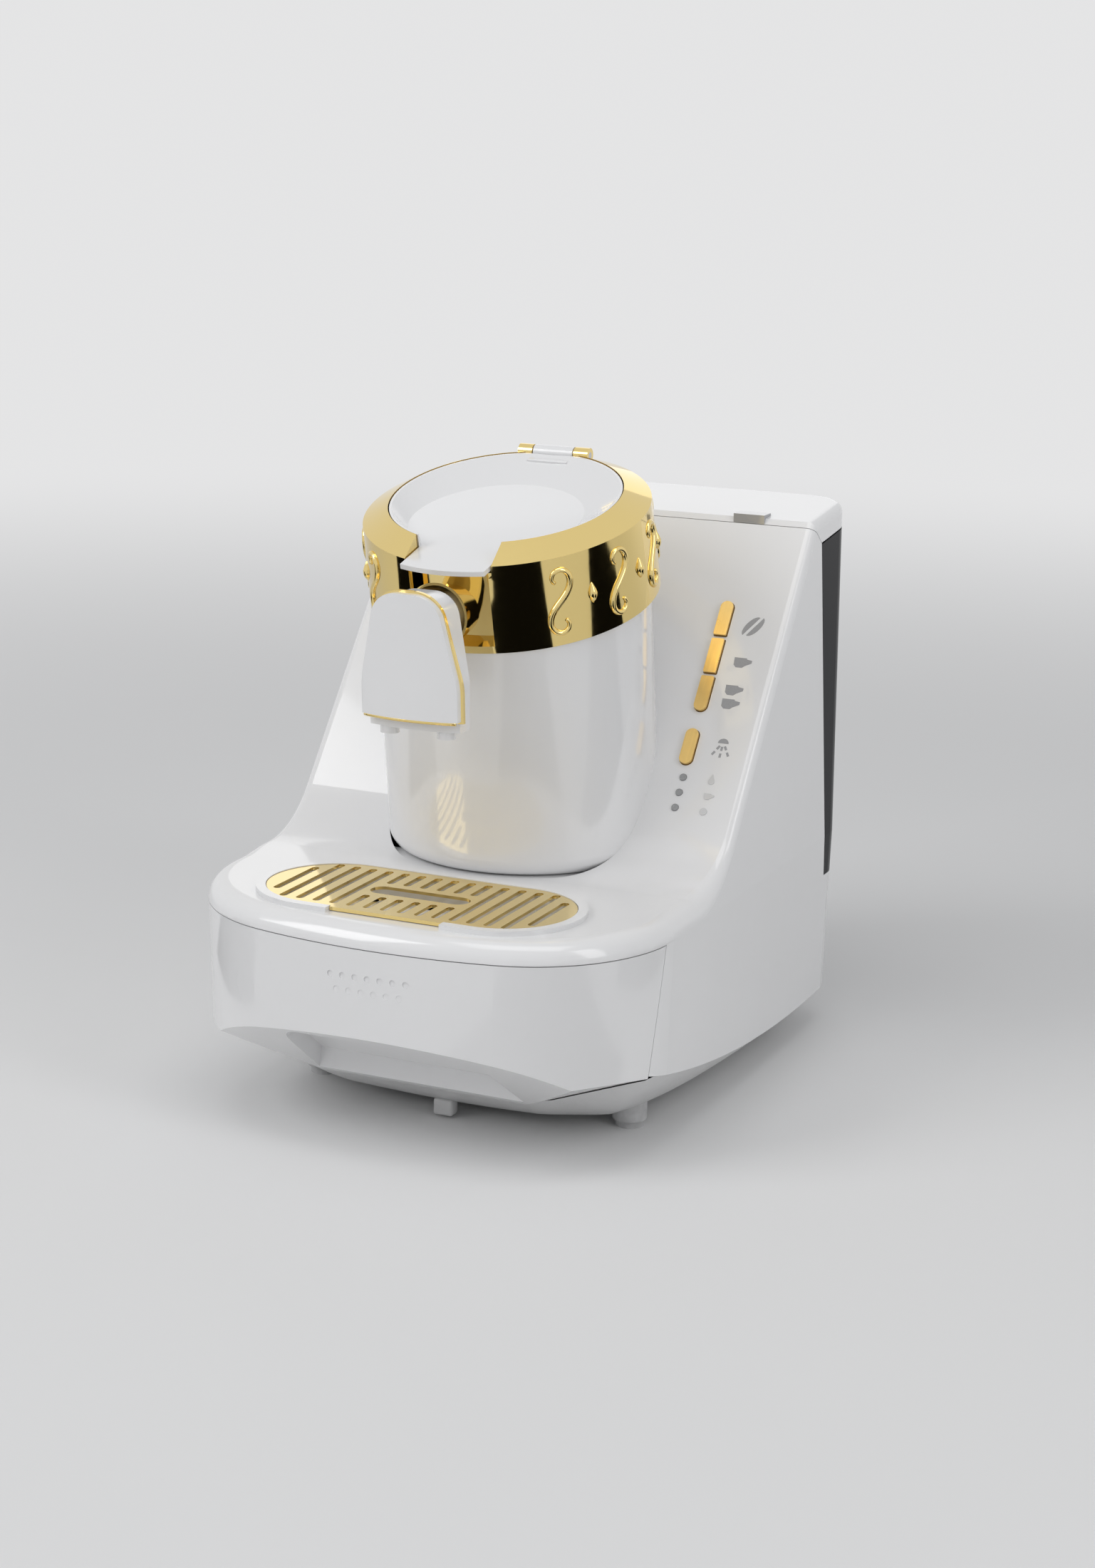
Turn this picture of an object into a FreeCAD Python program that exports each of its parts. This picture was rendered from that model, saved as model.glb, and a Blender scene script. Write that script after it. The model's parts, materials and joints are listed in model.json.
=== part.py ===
import FreeCAD, Part
import math
import os
import Sketcher

# Electric Turkish coffee maker: a white housing with a sloping front, a leaning brew pot under a gold
# ring, a pull-out drip drawer and a lift-off water tank at the back.
# Millimetres, +Z up, the front faces -Y, and the origin is under the middle of the machine.

os.makedirs("parts", exist_ok=True)
doc = FreeCAD.newDocument("coffee_maker")
sheet = doc.addObject("Spreadsheet::Sheet", "Sizes")

SIZES = [
    # Plan of the housing
    ("half_width", 99),
    ("front_reach", 135),
    ("rear_reach", 132),
    ("front_bow_radius", 230),
    ("front_corner_radius", 62),
    ("rear_corner_radius", 18),
    ("shell_wall", 3),
    ("part_gap", 0.4),
    ("seat_gap", 0.3),
    ("tuck_angle", 2),
    # Heights
    ("foot_height", 6),
    ("seam_height", 88.6),
    ("deck_height", 97),
    ("lid_front_height", 231),
    ("lid_rear_height", 236.5),
    ("lid_edge_drop", 2.5),
    # Sloping front of the tower
    ("slope_angle", 37.7),
    ("slope_depth", 18),
    ("slope_height", 146.3),
    ("sweep_radius", 44),
    ("rim_radius", 8),
    ("ridge_radius", 4),
    # Underside: the crease is an arc in side view and the flanks are cones about the same axis
    ("crease_radius", 660),
    ("crease_centre_depth", 85),
    ("crease_centre_height", 676),
    ("flank_angle", 19.8),
    ("bevel_foot_depth", 86),
    ("bevel_foot_height", 19),
    ("bevel_top_depth", 133),
    ("bevel_top_height", 52),
    ("sole_front_depth", 60),
    # Drip drawer
    ("parting_top_depth", 75.4),
    ("bin_half_width", 78),
    ("bin_front_depth", 91),
    ("bin_rear_depth", 18),
    ("bin_floor_height", 35.8),
    ("bin_rim_height", 82),
    ("bin_wall", 2.2),
    ("runner_wall", 2),
    ("runner_leg_radius", 4),
    ("runner_leg_side", 25),
    ("runner_leg_front", 40),
    ("runner_leg_rear", 12),
    ("drawer_boss_radius", 5),
    ("drawer_boss_side", 58),
    ("drawer_boss_height", 64),
    ("grip_top_half_width", 42),
    ("grip_foot_half_width", 48),
    ("grip_corner_radius", 10),
    ("grip_depth", 7),
    ("grip_margin", 2.5),
    ("dot_radius", 1.35),
    ("dot_pitch", 5.4),
    ("dot_row_pitch", 5.75),
    ("dot_middle_height", 71.2),
    ("dot_depth", 0.8),
    # Drip tray and grille
    ("grille_depth", 90.4),
    ("grille_half_length", 65),
    ("grille_half_depth", 28.5),
    ("grille_top_height", 98.7),
    ("grille_thickness", 1.2),
    ("slot_pitch", 7.4),
    ("slot_width", 3.2),
    ("slot_reach", 25.2),
    ("short_slot_start", 9),
    ("end_slot_reach", 17),
    ("finger_half_length", 21.5),
    ("finger_radius", 5),
    ("tray_rim_width", 4.2),
    ("tray_rim_height", 99),
    ("tray_ledge", 2.4),
    ("tray_floor_height", 91),
    ("tray_wall", 1.8),
    ("tray_drain_radius", 5),
    ("tray_drain_shift", 12),
    ("tray_notch_half_width", 24.5),
    ("tray_notch_depth", 1.5),
    ("grille_lip_reach", 1.2),
    # Pot
    ("pot_radius", 57),
    ("pot_lean_angle", 8.5),
    ("pot_foot_depth", 8),
    ("pot_foot_radius", 8),
    # Ring, in its own leaning frame, heights counted from the upper outer edge
    ("ring_tilt_angle", 15),
    ("ring_centre_depth", 15.4),
    ("ring_centre_height", 242.6),
    ("ring_height", 37),
    ("ring_foot_radius", 60),
    ("ring_top_radius", 59.2),
    ("ring_wall", 2.6),
    ("ring_flange", 3),
    ("bezel_inner_radius", 48.3),
    ("bezel_rise", 5.6),
    ("bezel_drop", 4),
    ("niche_half_width", 17.5),
    ("niche_floor_inset", 5.6),
    ("niche_floor_wall", 2.4),
    ("niche_floor_drop", 1.2),
    # Brew lid
    ("lid_clearance", 0.5),
    ("lid_rim_drop", 0.3),
    ("lid_plate", 2.4),
    ("dish_floor_radius", 36),
    ("dish_floor_shift", 11),
    ("dish_rim_margin", 0.8),
    ("gasket_margin", 2.2),
    ("gasket_width", 3.8),
    ("gasket_height", 2),
    ("probe_radius", 2.5),
    ("probe_length", 22),
    ("tab_half_width", 18.3),
    ("tab_reach", 64),
    ("lid_pin_radius", 1.5),
    ("lid_knuckle_radius", 3.2),
    ("lid_knuckle_half_length", 9),
    ("lid_pin_half_length", 16),
    ("pin_clearance", 0.05),
    # Brew cup
    ("cup_top_radius", 45),
    ("cup_foot_radius", 38),
    ("cup_wall", 1.5),
    ("cup_rim_drop", 9),
    ("cup_depth", 95),
    ("cup_flange_radius", 51),
    ("heater_radius", 35),
    ("heater_thickness", 7),
    ("stand_radius", 28),
    ("stand_wall", 2),
    # Spout
    ("spout_height", 208),
    ("neck_radius", 8.5),
    ("neck_wall", 3),
    ("boss_rim_radius", 13.5),
    ("boss_foot_radius", 9.8),
    ("boss_front_depth", 79),
    ("boss_rear_depth", 60),
    ("head_rear_depth", 88),
    ("head_front_depth", 97),
    ("cover_half_width", 20.6),
    ("cover_foot_height", 172),
    ("cover_shoulder_height", 186),
    ("cover_top_height", 221.5),
    ("cover_top_half_width", 13),
    ("cover_thickness", 3.2),
    ("trim_thickness", 1.6),
    ("trim_overlap", 0.9),
    ("head_inset", 1.2),
    ("cover_lean_angle", 4),
    ("cover_bow_radius", 70),
    ("nozzle_side", 12.3),
    ("nozzle_depth", 95.4),
    ("nozzle_radius", 3.75),
    ("nozzle_bore_radius", 2.4),
    ("nozzle_foot_height", 163.8),
    ("nozzle_length", 12),
    ("nozzle_rear_shift", 2),
    ("head_foot_height", 167),
    # Buttons on the slope, places counted up the slope from slope_height
    ("button_side", 70),
    ("button_length", 16),
    ("button_width", 5.6),
    ("button_first", 57.3),
    ("button_second", 39.5),
    ("button_third", 21.7),
    ("button_fourth", -2.9),
    ("button_proud", 1.6),
    ("button_travel", 1.5),
    ("button_flange", 1.5),
    ("button_flange_room", 1.4),
    ("led_side", 70.8),
    ("led_radius", 1.5),
    ("led_first", -16.6),
    ("led_pitch", 6.85),
    ("led_clearance", 0.1),
    ("led_proud", 0.5),
    ("board_drop", 10),
    ("board_thickness", 1.6),
    ("board_width", 28),
    ("board_length", 118),
    ("board_post_radius", 2.5),
    ("switch_side", 6),
    # Water tank and its lid
    ("tank_top_depth", 91),
    ("tank_top_height", 221),
    ("tank_foot_depth", 109),
    ("tank_foot_height", 70),
    ("tank_rear_height", 226),
    ("tank_wall", 2.5),
    ("valve_radius", 7),
    ("valve_rim", 3),
    ("valve_drop", 6),
    ("valve_depth", 119.6),
    ("hinge_radius", 2.8),
    ("hinge_pin_radius", 1.2),
    ("hinge_half_length", 24),
    ("hinge_knuckle_half", 12),
    ("tab_side", 62),
    ("tab_length", 14),
    # Feet and inlet
    ("foot_radius", 7),
    ("front_foot_side", 70),
    ("front_foot_depth", 40),
    ("rear_foot_side", 72),
    ("rear_foot_depth", 100),
    ("inlet_radius", 6),
    ("inlet_step", 1.5),
    ("inlet_bore_radius", 3.5),
    ("inlet_height", 36),
    ("inlet_side", 60),
    ("inlet_reach", 135),
]

for row, (alias, number) in enumerate(SIZES, start=1):
    sheet.set(f"A{row}", alias)
    sheet.set(f"B{row}", str(number))
    sheet.setAlias(f"B{row}", alias)
doc.recompute()


class Size:
    """A length or angle that knows its number and the sheet expression that gives it."""

    def __init__(self, number, text):
        self.number = float(number)
        self.text = text

    def __add__(self, other):
        other = as_size(other)
        return Size(self.number + other.number, f"({self.text} + {other.text})")

    def __radd__(self, other):
        return as_size(other) + self

    def __sub__(self, other):
        other = as_size(other)
        return Size(self.number - other.number, f"({self.text} - {other.text})")

    def __rsub__(self, other):
        return as_size(other) - self

    def __mul__(self, other):
        other = as_size(other)
        return Size(self.number * other.number, f"({self.text} * {other.text})")

    def __rmul__(self, other):
        return as_size(other) * self

    def __truediv__(self, other):
        other = as_size(other)
        return Size(self.number / other.number, f"({self.text} / {other.text})")

    def __neg__(self):
        return Size(-self.number, f"(-{self.text})")


def as_size(value):
    if isinstance(value, Size):
        return value
    return Size(value, repr(float(value)))


def cell(alias):
    return Size(float(sheet.get(alias)), f"Sizes.{alias}")


def tangent(angle):
    return Size(math.tan(math.radians(angle.number)), f"tan({angle.text})")


def cosine(angle):
    return Size(math.cos(math.radians(angle.number)), f"cos({angle.text})")


def sine(angle):
    return Size(math.sin(math.radians(angle.number)), f"sin({angle.text})")


def bind(item, name, value):
    item.setExpression(name, as_size(value).text)


X_AXIS = FreeCAD.Vector(1, 0, 0)
Y_AXIS = FreeCAD.Vector(0, 1, 0)
Z_AXIS = FreeCAD.Vector(0, 0, 1)
# Longer than half of the machine, for tools that run right through it
FAR = 160
# How far a cutting tool stands off the face that it opens
TOOL_ROOM = 2
pieces = []


def spot(x, y, z):
    return FreeCAD.Vector(as_size(x).number, as_size(y).number, as_size(z).number)


def placed(item, x, y, z, axis=Z_AXIS, angle=0):
    """Put an object at a point, turned about an axis."""
    turn = FreeCAD.Rotation(axis, as_size(angle).number)
    item.Placement = FreeCAD.Placement(spot(x, y, z), turn)
    bind(item, "Placement.Base.x", x)
    bind(item, "Placement.Base.y", y)
    bind(item, "Placement.Base.z", z)
    return item


def as_piece(item, label):
    """Name an object as one physical piece that gets its own file."""
    item.Label = label
    pieces.append(item)
    return item


def box(name, low, high):
    """A box between two corners."""
    item = doc.addObject("Part::Box", name)
    for side, start, end in zip(("Length", "Width", "Height"), low, high):
        bind(item, side, as_size(end) - as_size(start))
    return placed(item, *low)


def rod(name, x, y, z, radius, length, axis=Z_AXIS, angle=0):
    """A round bar from a point, along +Z unless turned."""
    item = doc.addObject("Part::Cylinder", name)
    bind(item, "Radius", radius)
    bind(item, "Height", length)
    return placed(item, x, y, z, axis, angle)


def taper(name, x, y, z, radius, end_radius, length, axis=Z_AXIS, angle=0):
    """A round taper from a point, along +Z unless turned."""
    item = doc.addObject("Part::Cone", name)
    bind(item, "Radius1", radius)
    bind(item, "Radius2", end_radius)
    bind(item, "Height", length)
    return placed(item, x, y, z, axis, angle)


def joined(name, *items):
    item = doc.addObject("Part::MultiFuse", name)
    item.Shapes = list(items)
    return item


def shared(name, *items):
    item = doc.addObject("Part::MultiCommon", name)
    item.Shapes = list(items)
    return item


def cut(name, base, tool):
    item = doc.addObject("Part::Cut", name)
    item.Base = base
    item.Tool = tool
    return item


def cut_all(name, base, *tools):
    """Cut several tools out of one object."""
    if len(tools) == 1:
        return cut(name, base, tools[0])
    return cut(name, base, joined(name + "_tools", *tools))


def new_body(name):
    return doc.addObject("PartDesign::Body", name)


def new_sketch(body, role, name, shift=0):
    """A sketch on one of the body's own origin planes, moved along the plane's normal."""
    sketch = body.newObject("Sketcher::SketchObject", name)
    plane = next(item for item in body.Origin.OriginFeatures if item.Role == role)
    sketch.AttachmentSupport = [(plane, "")]
    sketch.MapMode = "FlatFace"
    bind(sketch, "AttachmentOffset.Base.z", shift)
    return sketch


def pin_point(sketch, item, end, across, up):
    """Hold one point of a sketch at bound distances from the origin."""
    for kind, axis_item, value in (("DistanceX", -2, across), ("DistanceY", -1, up)):
        value = as_size(value)
        if value.number == 0:
            sketch.addConstraint(Sketcher.Constraint("PointOnObject", item, end, axis_item))
            continue
        index = sketch.addConstraint(Sketcher.Constraint(kind, -1, 1, item, end, value.number))
        sketch.setExpression(f"Constraints[{index}]", value.text)


def polygon(sketch, corners):
    """A closed outline of straight lines whose corners are bound to the sheet."""
    first = sketch.GeometryCount
    corners = [(as_size(across), as_size(up)) for across, up in corners]
    spots = [FreeCAD.Vector(across.number, up.number, 0) for across, up in corners]
    count = len(spots)
    for index in range(count):
        sketch.addGeometry(Part.LineSegment(spots[index], spots[(index + 1) % count]), False)
    for index in range(count):
        following = first + (index + 1) % count
        sketch.addConstraint(Sketcher.Constraint("Coincident", first + index, 2, following, 1))
    for index, (across, up) in enumerate(corners):
        pin_point(sketch, first + index, 1, across, up)


def circle(sketch, across, up, radius):
    across, up, radius = as_size(across), as_size(up), as_size(radius)
    centre = FreeCAD.Vector(across.number, up.number, 0)
    item = sketch.addGeometry(Part.Circle(centre, Z_AXIS, radius.number), False)
    pin_point(sketch, item, 3, across, up)
    index = sketch.addConstraint(Sketcher.Constraint("Radius", item, radius.number))
    sketch.setExpression(f"Constraints[{index}]", radius.text)


def stadium(sketch, across, up, half_run, radius, upright=False):
    """A slot outline: two straight sides and two half circles."""
    across, up, half_run, radius = (as_size(value) for value in (across, up, half_run, radius))
    run = FreeCAD.Vector(0, half_run.number, 0) if upright else FreeCAD.Vector(half_run.number, 0, 0)
    side = FreeCAD.Vector(radius.number, 0, 0) if upright else FreeCAD.Vector(0, -radius.number, 0)
    centre = FreeCAD.Vector(across.number, up.number, 0)
    start_angle = 0 if upright else -math.pi / 2
    half_turn = start_angle + math.pi
    head = Part.ArcOfCircle(Part.Circle(centre + run, Z_AXIS, radius.number), start_angle, half_turn)
    tail = Part.ArcOfCircle(Part.Circle(centre - run, Z_AXIS, radius.number), half_turn, half_turn + math.pi)
    arc = sketch.addGeometry(head, False)
    back = sketch.addGeometry(Part.LineSegment(centre + run - side, centre - run - side), False)
    end_arc = sketch.addGeometry(tail, False)
    front = sketch.addGeometry(Part.LineSegment(centre - run + side, centre + run + side), False)
    for item, following in ((arc, back), (back, end_arc), (end_arc, front), (front, arc)):
        sketch.addConstraint(Sketcher.Constraint("Tangent", item, 2, following, 1))
    if upright:
        pin_point(sketch, arc, 3, across, up + half_run)
        pin_point(sketch, end_arc, 3, across, up - half_run)
    else:
        pin_point(sketch, arc, 3, across + half_run, up)
        pin_point(sketch, end_arc, 3, across - half_run, up)
    index = sketch.addConstraint(Sketcher.Constraint("Radius", arc, radius.number))
    sketch.setExpression(f"Constraints[{index}]", radius.text)


def pad(body, sketch, length, midplane=False):
    """A pad of a sketch: both ways from its plane, or one way."""
    item = body.newObject("PartDesign::Pad", sketch.Name + "_pad")
    item.Profile = sketch
    bind(item, "Length", length)
    item.Midplane = midplane
    return item


def pocket(body, sketch, length):
    """A pocket of a sketch, checked to take material away."""
    doc.recompute()
    before = body.Shape.Volume
    item = body.newObject("PartDesign::Pocket", sketch.Name + "_pocket")
    item.Profile = sketch
    bind(item, "Length", length)
    doc.recompute()
    if body.Shape.Volume >= before:
        raise ValueError(f"{sketch.Name} takes nothing away")
    return item


def turned(body, sketch, axis="V_Axis"):
    """A full turn of a sketch about one of its own axes or edges."""
    item = body.newObject("PartDesign::Revolution", sketch.Name + "_turn")
    item.Profile = sketch
    item.ReferenceAxis = (sketch, [axis])
    item.Angle = 360
    return item


def edge_names(shape, test):
    return [f"Edge{index}" for index, edge in enumerate(shape.Edges, start=1) if test(edge)]


def middle(edge):
    return edge.valueAt((edge.FirstParameter + edge.LastParameter) / 2)


def rounded(body, radius, test, name):
    """A PartDesign fillet on the edges of the body's tip that pass a test."""
    doc.recompute()
    tip = body.Tip
    names = edge_names(tip.Shape, test)
    if not names:
        raise ValueError(f"{name} finds no edge")
    item = body.newObject("PartDesign::Fillet", name)
    item.Base = (tip, names)
    bind(item, "Radius", radius)
    return item


def upright(edge):
    """True for an edge that runs mostly up and down."""
    first, last = edge.Vertexes[0].Point, edge.Vertexes[-1].Point
    flat = math.hypot(last.x - first.x, last.y - first.y)
    return abs(last.z - first.z) > 2 * flat


# Values worked out from the sheet

wall = cell("shell_wall")
gap = cell("part_gap")
half_width = cell("half_width")
seam = cell("seam_height")
deck = cell("deck_height")
rear = cell("rear_reach")
slope_lean = tangent(cell("slope_angle"))
crease_y = cell("crease_centre_depth")
crease_z = cell("crease_centre_height")


def slope_y(height):
    """Where the sloping front lies at a height."""
    return cell("slope_depth") + (height - cell("slope_height")) * slope_lean


def tank_y(height):
    """Where the front of the water tank lies at a height."""
    fall = cell("tank_top_height") - cell("tank_foot_height")
    lean = (cell("tank_foot_depth") - cell("tank_top_depth")) / fall
    return cell("tank_top_depth") + (cell("tank_top_height") - height) * lean


parting_lean = (cell("bevel_foot_depth") - cell("parting_top_depth")) / (seam - cell("bevel_foot_height"))


def parting_y(height):
    """Where the drawer front parts from the housing at a height."""
    return -cell("parting_top_depth") - (seam - height) * parting_lean


# Outer forms that the visible shells are cut from


def plan_form(name, inset, start, end, tucked=False):
    """The plan of the housing between two heights: bowed front, round corners, straight sides."""
    body = new_body(name)
    reach = half_width - inset
    bow = cell("front_bow_radius") - inset
    bow_centre = cell("front_bow_radius") - cell("front_reach")
    back = rear - inset
    corner_y = bow_centre.number - math.sqrt(bow.number ** 2 - reach.number ** 2)
    sketch = new_sketch(body, "XY_Plane", name + "_plan", start)
    angle = math.asin(reach.number / bow.number)
    front = Part.ArcOfCircle(
        Part.Circle(FreeCAD.Vector(0, bow_centre.number, 0), Z_AXIS, bow.number),
        -math.pi / 2 - angle,
        -math.pi / 2 + angle,
    )
    arc = sketch.addGeometry(front, False)
    right_front = FreeCAD.Vector(reach.number, corner_y, 0)
    right_back = FreeCAD.Vector(reach.number, back.number, 0)
    left_back = FreeCAD.Vector(-reach.number, back.number, 0)
    left_front = FreeCAD.Vector(-reach.number, corner_y, 0)
    right = sketch.addGeometry(Part.LineSegment(right_front, right_back), False)
    behind = sketch.addGeometry(Part.LineSegment(right_back, left_back), False)
    left = sketch.addGeometry(Part.LineSegment(left_back, left_front), False)
    for item, following in ((arc, right), (right, behind), (behind, left), (left, arc)):
        sketch.addConstraint(Sketcher.Constraint("Coincident", item, 2, following, 1))
    sketch.addConstraint(Sketcher.Constraint("Vertical", right))
    sketch.addConstraint(Sketcher.Constraint("Vertical", left))
    pin_point(sketch, behind, 1, reach, back)
    pin_point(sketch, behind, 2, -reach, back)
    pin_point(sketch, arc, 3, 0, bow_centre)
    index = sketch.addConstraint(Sketcher.Constraint("Radius", arc, bow.number))
    sketch.setExpression(f"Constraints[{index}]", bow.text)
    pad(body, sketch, end - start)
    rounded(
        body,
        cell("front_corner_radius") - inset,
        lambda edge: upright(edge) and middle(edge).y < 0,
        name + "_front_corners",
    )
    rounded(
        body,
        cell("rear_corner_radius") - inset,
        lambda edge: upright(edge) and middle(edge).y > 0,
        name + "_rear_corners",
    )
    if tucked:
        doc.recompute()
        tip = body.Tip
        faces = list(enumerate(tip.Shape.Faces, start=1))
        draft = body.newObject("PartDesign::Draft", name + "_tuck")
        draft.Base = (tip, [f"Face{index}" for index, face in faces if abs(face.normalAt(0, 0).z) < 0.1])
        tops = [f"Face{index}" for index, face in faces if face.CenterOfMass.z > as_size(end).number - 0.01]
        draft.NeutralPlane = (tip, tops)
        bind(draft, "Angle", cell("tuck_angle"))
        draft.Reversed = True
    return body


def side_form(name, corners, half=None):
    """A side view of straight lines, drawn in Y and Z and run across the machine."""
    body = new_body(name)
    sketch = new_sketch(body, "YZ_Plane", name + "_side")
    polygon(sketch, corners)
    pad(body, sketch, as_size(2 * FAR) if half is None else 2 * as_size(half), midplane=True)
    return body


def underside(name, inset):
    """Twin cones about an axis across the machine: their flanks shape the base under the crease."""
    item_name = name + "_flanks"
    body = new_body(item_name)
    sketch = new_sketch(body, "XZ_Plane", item_name + "_profile", -crease_y)
    rise = tangent(cell("flank_angle"))
    edge_radius = cell("crease_radius") - inset - (FAR - (half_width - 1)) * rise
    ridge_radius = cell("crease_radius") - inset + (half_width - 1) * rise
    polygon(
        sketch,
        [
            (-FAR, crease_z),
            (-FAR, crease_z - edge_radius),
            (0, crease_z - ridge_radius),
            (FAR, crease_z - edge_radius),
            (FAR, crease_z),
        ],
    )
    turned(body, sketch, "Edge5")
    return body


def bevel_z(depth, inset):
    """Height of the front bevel at a depth in front of the middle."""
    run = cell("bevel_top_depth") - cell("bevel_foot_depth")
    rise = (cell("bevel_top_height") - cell("bevel_foot_height")) / run
    lean = math.sqrt(1 + rise.number ** 2)
    return cell("bevel_foot_height") + (depth - cell("bevel_foot_depth")) * rise + inset * lean


def base_form(name, inset):
    """The lower half of the machine, from the sole to the seam under the deck."""
    plan = plan_form(name + "_plan", inset, as_size(0) + inset, seam, tucked=True)
    side = side_form(
        name + "_profile",
        [
            (-cell("sole_front_depth"), cell("foot_height") + inset),
            (-cell("bevel_foot_depth"), bevel_z(cell("bevel_foot_depth"), inset)),
            (-FAR, bevel_z(as_size(FAR), inset)),
            (-FAR, seam + 1),
            (FAR, seam + 1),
            (FAR, cell("foot_height") + inset),
        ],
    )
    return shared(name, plan, side, underside(name, inset))


def top_form(name, inset):
    """The upper half of the machine: deck, sloping front and lid, above the seam."""
    plan = plan_form(name + "_plan", inset, seam, as_size(FAR) + 2 * FAR)
    lean = math.hypot(1, slope_lean.number)
    side = side_form(
        name + "_profile",
        [
            (-FAR, seam),
            (-FAR, deck - inset),
            (slope_y(deck - inset) + inset * lean, deck - inset),
            (slope_y(cell("lid_front_height") - inset) + inset * lean, cell("lid_front_height") - inset),
            (rear, cell("lid_rear_height") - inset),
            (FAR, cell("lid_rear_height") - inset),
            (FAR, seam),
        ],
    )
    corner = spot(0, slope_y(deck - inset) + inset * lean, deck - inset)
    rounded(
        side,
        cell("sweep_radius") + inset,
        lambda edge: middle(edge).distanceToPoint(corner) < 0.01,
        name + "_sweep",
    )
    return shared(name, plan, side)


def filleted(name, base, radii):
    """A Part fillet: each test in radii picks edges, and gives their radius at the lower and upper end."""
    doc.recompute()
    item = doc.addObject("Part::Fillet", name)
    item.Base = base
    chosen = []
    for index, edge in enumerate(base.Shape.Edges, start=1):
        for test, low, high in radii:
            if not test(edge):
                continue
            rising = edge.valueAt(edge.FirstParameter).z <= edge.valueAt(edge.LastParameter).z
            ends = (low.number, high.number) if rising else (high.number, low.number)
            chosen.append((index, *ends))
            break
    item.Edges = chosen
    return item


def runs_across(edge):
    return abs(edge.Vertexes[0].Point.x - edge.Vertexes[-1].Point.x) > half_width.number * 1.2


def longer_than_corners(edge):
    """True for an edge that runs further across than the grip's two round corners."""
    return abs(edge.Vertexes[0].Point.x - edge.Vertexes[-1].Point.x) > 2 * cell("grip_corner_radius").number


def stands(edge):
    first, last = edge.Vertexes[0].Point, edge.Vertexes[-1].Point
    return math.hypot(last.x - first.x, last.y - first.y) < 0.1


# Edges across the deck behind this depth belong to the sweep, and edges over this height to the slope
RIM_DEPTH = -60
SWEEP_TOP = deck.number + 30


def on_rim(edge):
    """Edges of the deck's rim, in front of the tower."""
    point = middle(edge)
    behind = point.y > slope_y(deck).number - cell("sweep_radius").number / 4
    sweeps = runs_across(edge) and point.y > RIM_DEPTH
    return abs(point.z - deck.number) < 0.01 and not behind and not sweeps


def on_sweep(edge):
    """Edges where the deck sweeps up into the slope."""
    return edge.Curve.TypeId == "Part::GeomCircle" and deck.number + 0.01 < middle(edge).z < SWEEP_TOP


def on_ridge(edge):
    """Edges between the slope or the lid and the side walls."""
    return middle(edge).z > SWEEP_TOP and not stands(edge) and not runs_across(edge)


base_outer = base_form("base_outer", as_size(0))
base_inner = base_form("base_inner", wall)
top_sharp = top_form("top_sharp", as_size(0))
top_inner = top_form("top_inner", wall)
rim, ridge = cell("rim_radius"), cell("ridge_radius")
top_outer = filleted(
    "top_outer",
    top_sharp,
    [(on_rim, rim, rim), (on_sweep, rim, ridge), (on_ridge, ridge, ridge)],
)
hull = joined("hull", top_outer, base_outer)
hollow = joined("hollow", top_inner, base_inner)

# Zones of the side view that belong to one piece each

drawer_zone = side_form(
    "drawer_zone",
    [(-FAR, -1), (parting_y(as_size(-1)), -1), (parting_y(seam), seam), (-FAR, seam)],
)
drawer_front_zone = side_form(
    "drawer_front_zone",
    [
        (-FAR, -1),
        (parting_y(as_size(-1)) - gap, -1),
        (parting_y(seam - gap) - gap, seam - gap),
        (-FAR, seam - gap),
    ],
)
tank_top = cell("tank_top_height")
tank_foot = cell("tank_foot_height")
tank_front = cell("tank_top_depth")
tank_rear_top = cell("tank_rear_height")
lid_front = cell("lid_front_height")
lid_edge = lid_front - cell("lid_edge_drop")
seat = cell("seat_gap")
# The seam between tank and lid rises by this much for each millimetre behind the machine
seam_rise = 0.1
back_zone = side_form(
    "back_zone",
    [
        (slope_y(lid_edge) - TOOL_ROOM, lid_edge),
        (slope_y(lid_edge), lid_edge),
        (tank_front, tank_top),
        (tank_y(tank_foot), tank_foot),
        (FAR, tank_foot),
        (FAR, 2 * FAR),
        (slope_y(lid_edge) - TOOL_ROOM, 2 * FAR),
    ],
)
tank_zone = side_form(
    "tank_zone",
    [
        (tank_front + gap, tank_top - seat),
        (tank_y(tank_foot) + gap, tank_foot + seat),
        (FAR, tank_foot + seat),
        (FAR, tank_rear_top + (FAR - rear) * seam_rise - seat),
        (rear, tank_rear_top - seat),
    ],
)
lid_zone = side_form(
    "lid_zone",
    [
        (slope_y(lid_edge) - TOOL_ROOM, lid_edge + gap),
        (slope_y(lid_edge), lid_edge + gap),
        (tank_front, tank_top + gap),
        (rear, tank_rear_top + gap),
        (FAR, tank_rear_top + (FAR - rear) * seam_rise + gap),
        (FAR, 2 * FAR),
        (slope_y(lid_edge) - TOOL_ROOM, 2 * FAR),
    ],
)
crease_drum = rod(
    "crease_drum", -FAR, crease_y, crease_z, cell("crease_radius"), 2 * FAR, axis=Y_AXIS, angle=90
)
cavity_zone = side_form(
    "cavity_zone",
    [
        (-FAR, -1),
        (-FAR, 2 * FAR),
        (slope_y(lid_front), 2 * FAR),
        (slope_y(tank_top - wall), tank_top - wall),
        (tank_y(tank_top - wall) - wall, tank_top - wall),
        (tank_y(tank_foot - wall) - wall, tank_foot - wall),
        (FAR, tank_foot - wall),
        (FAR, -1),
    ],
)
cavity = shared("cavity", hollow, cavity_zone)

# Pot: a leaning round column whose foot stands on the deck

pot_lean = cell("pot_lean_angle")
ring_tilt = cell("ring_tilt_angle")
ring_y = -cell("ring_centre_depth")
ring_z = cell("ring_centre_height")


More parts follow.
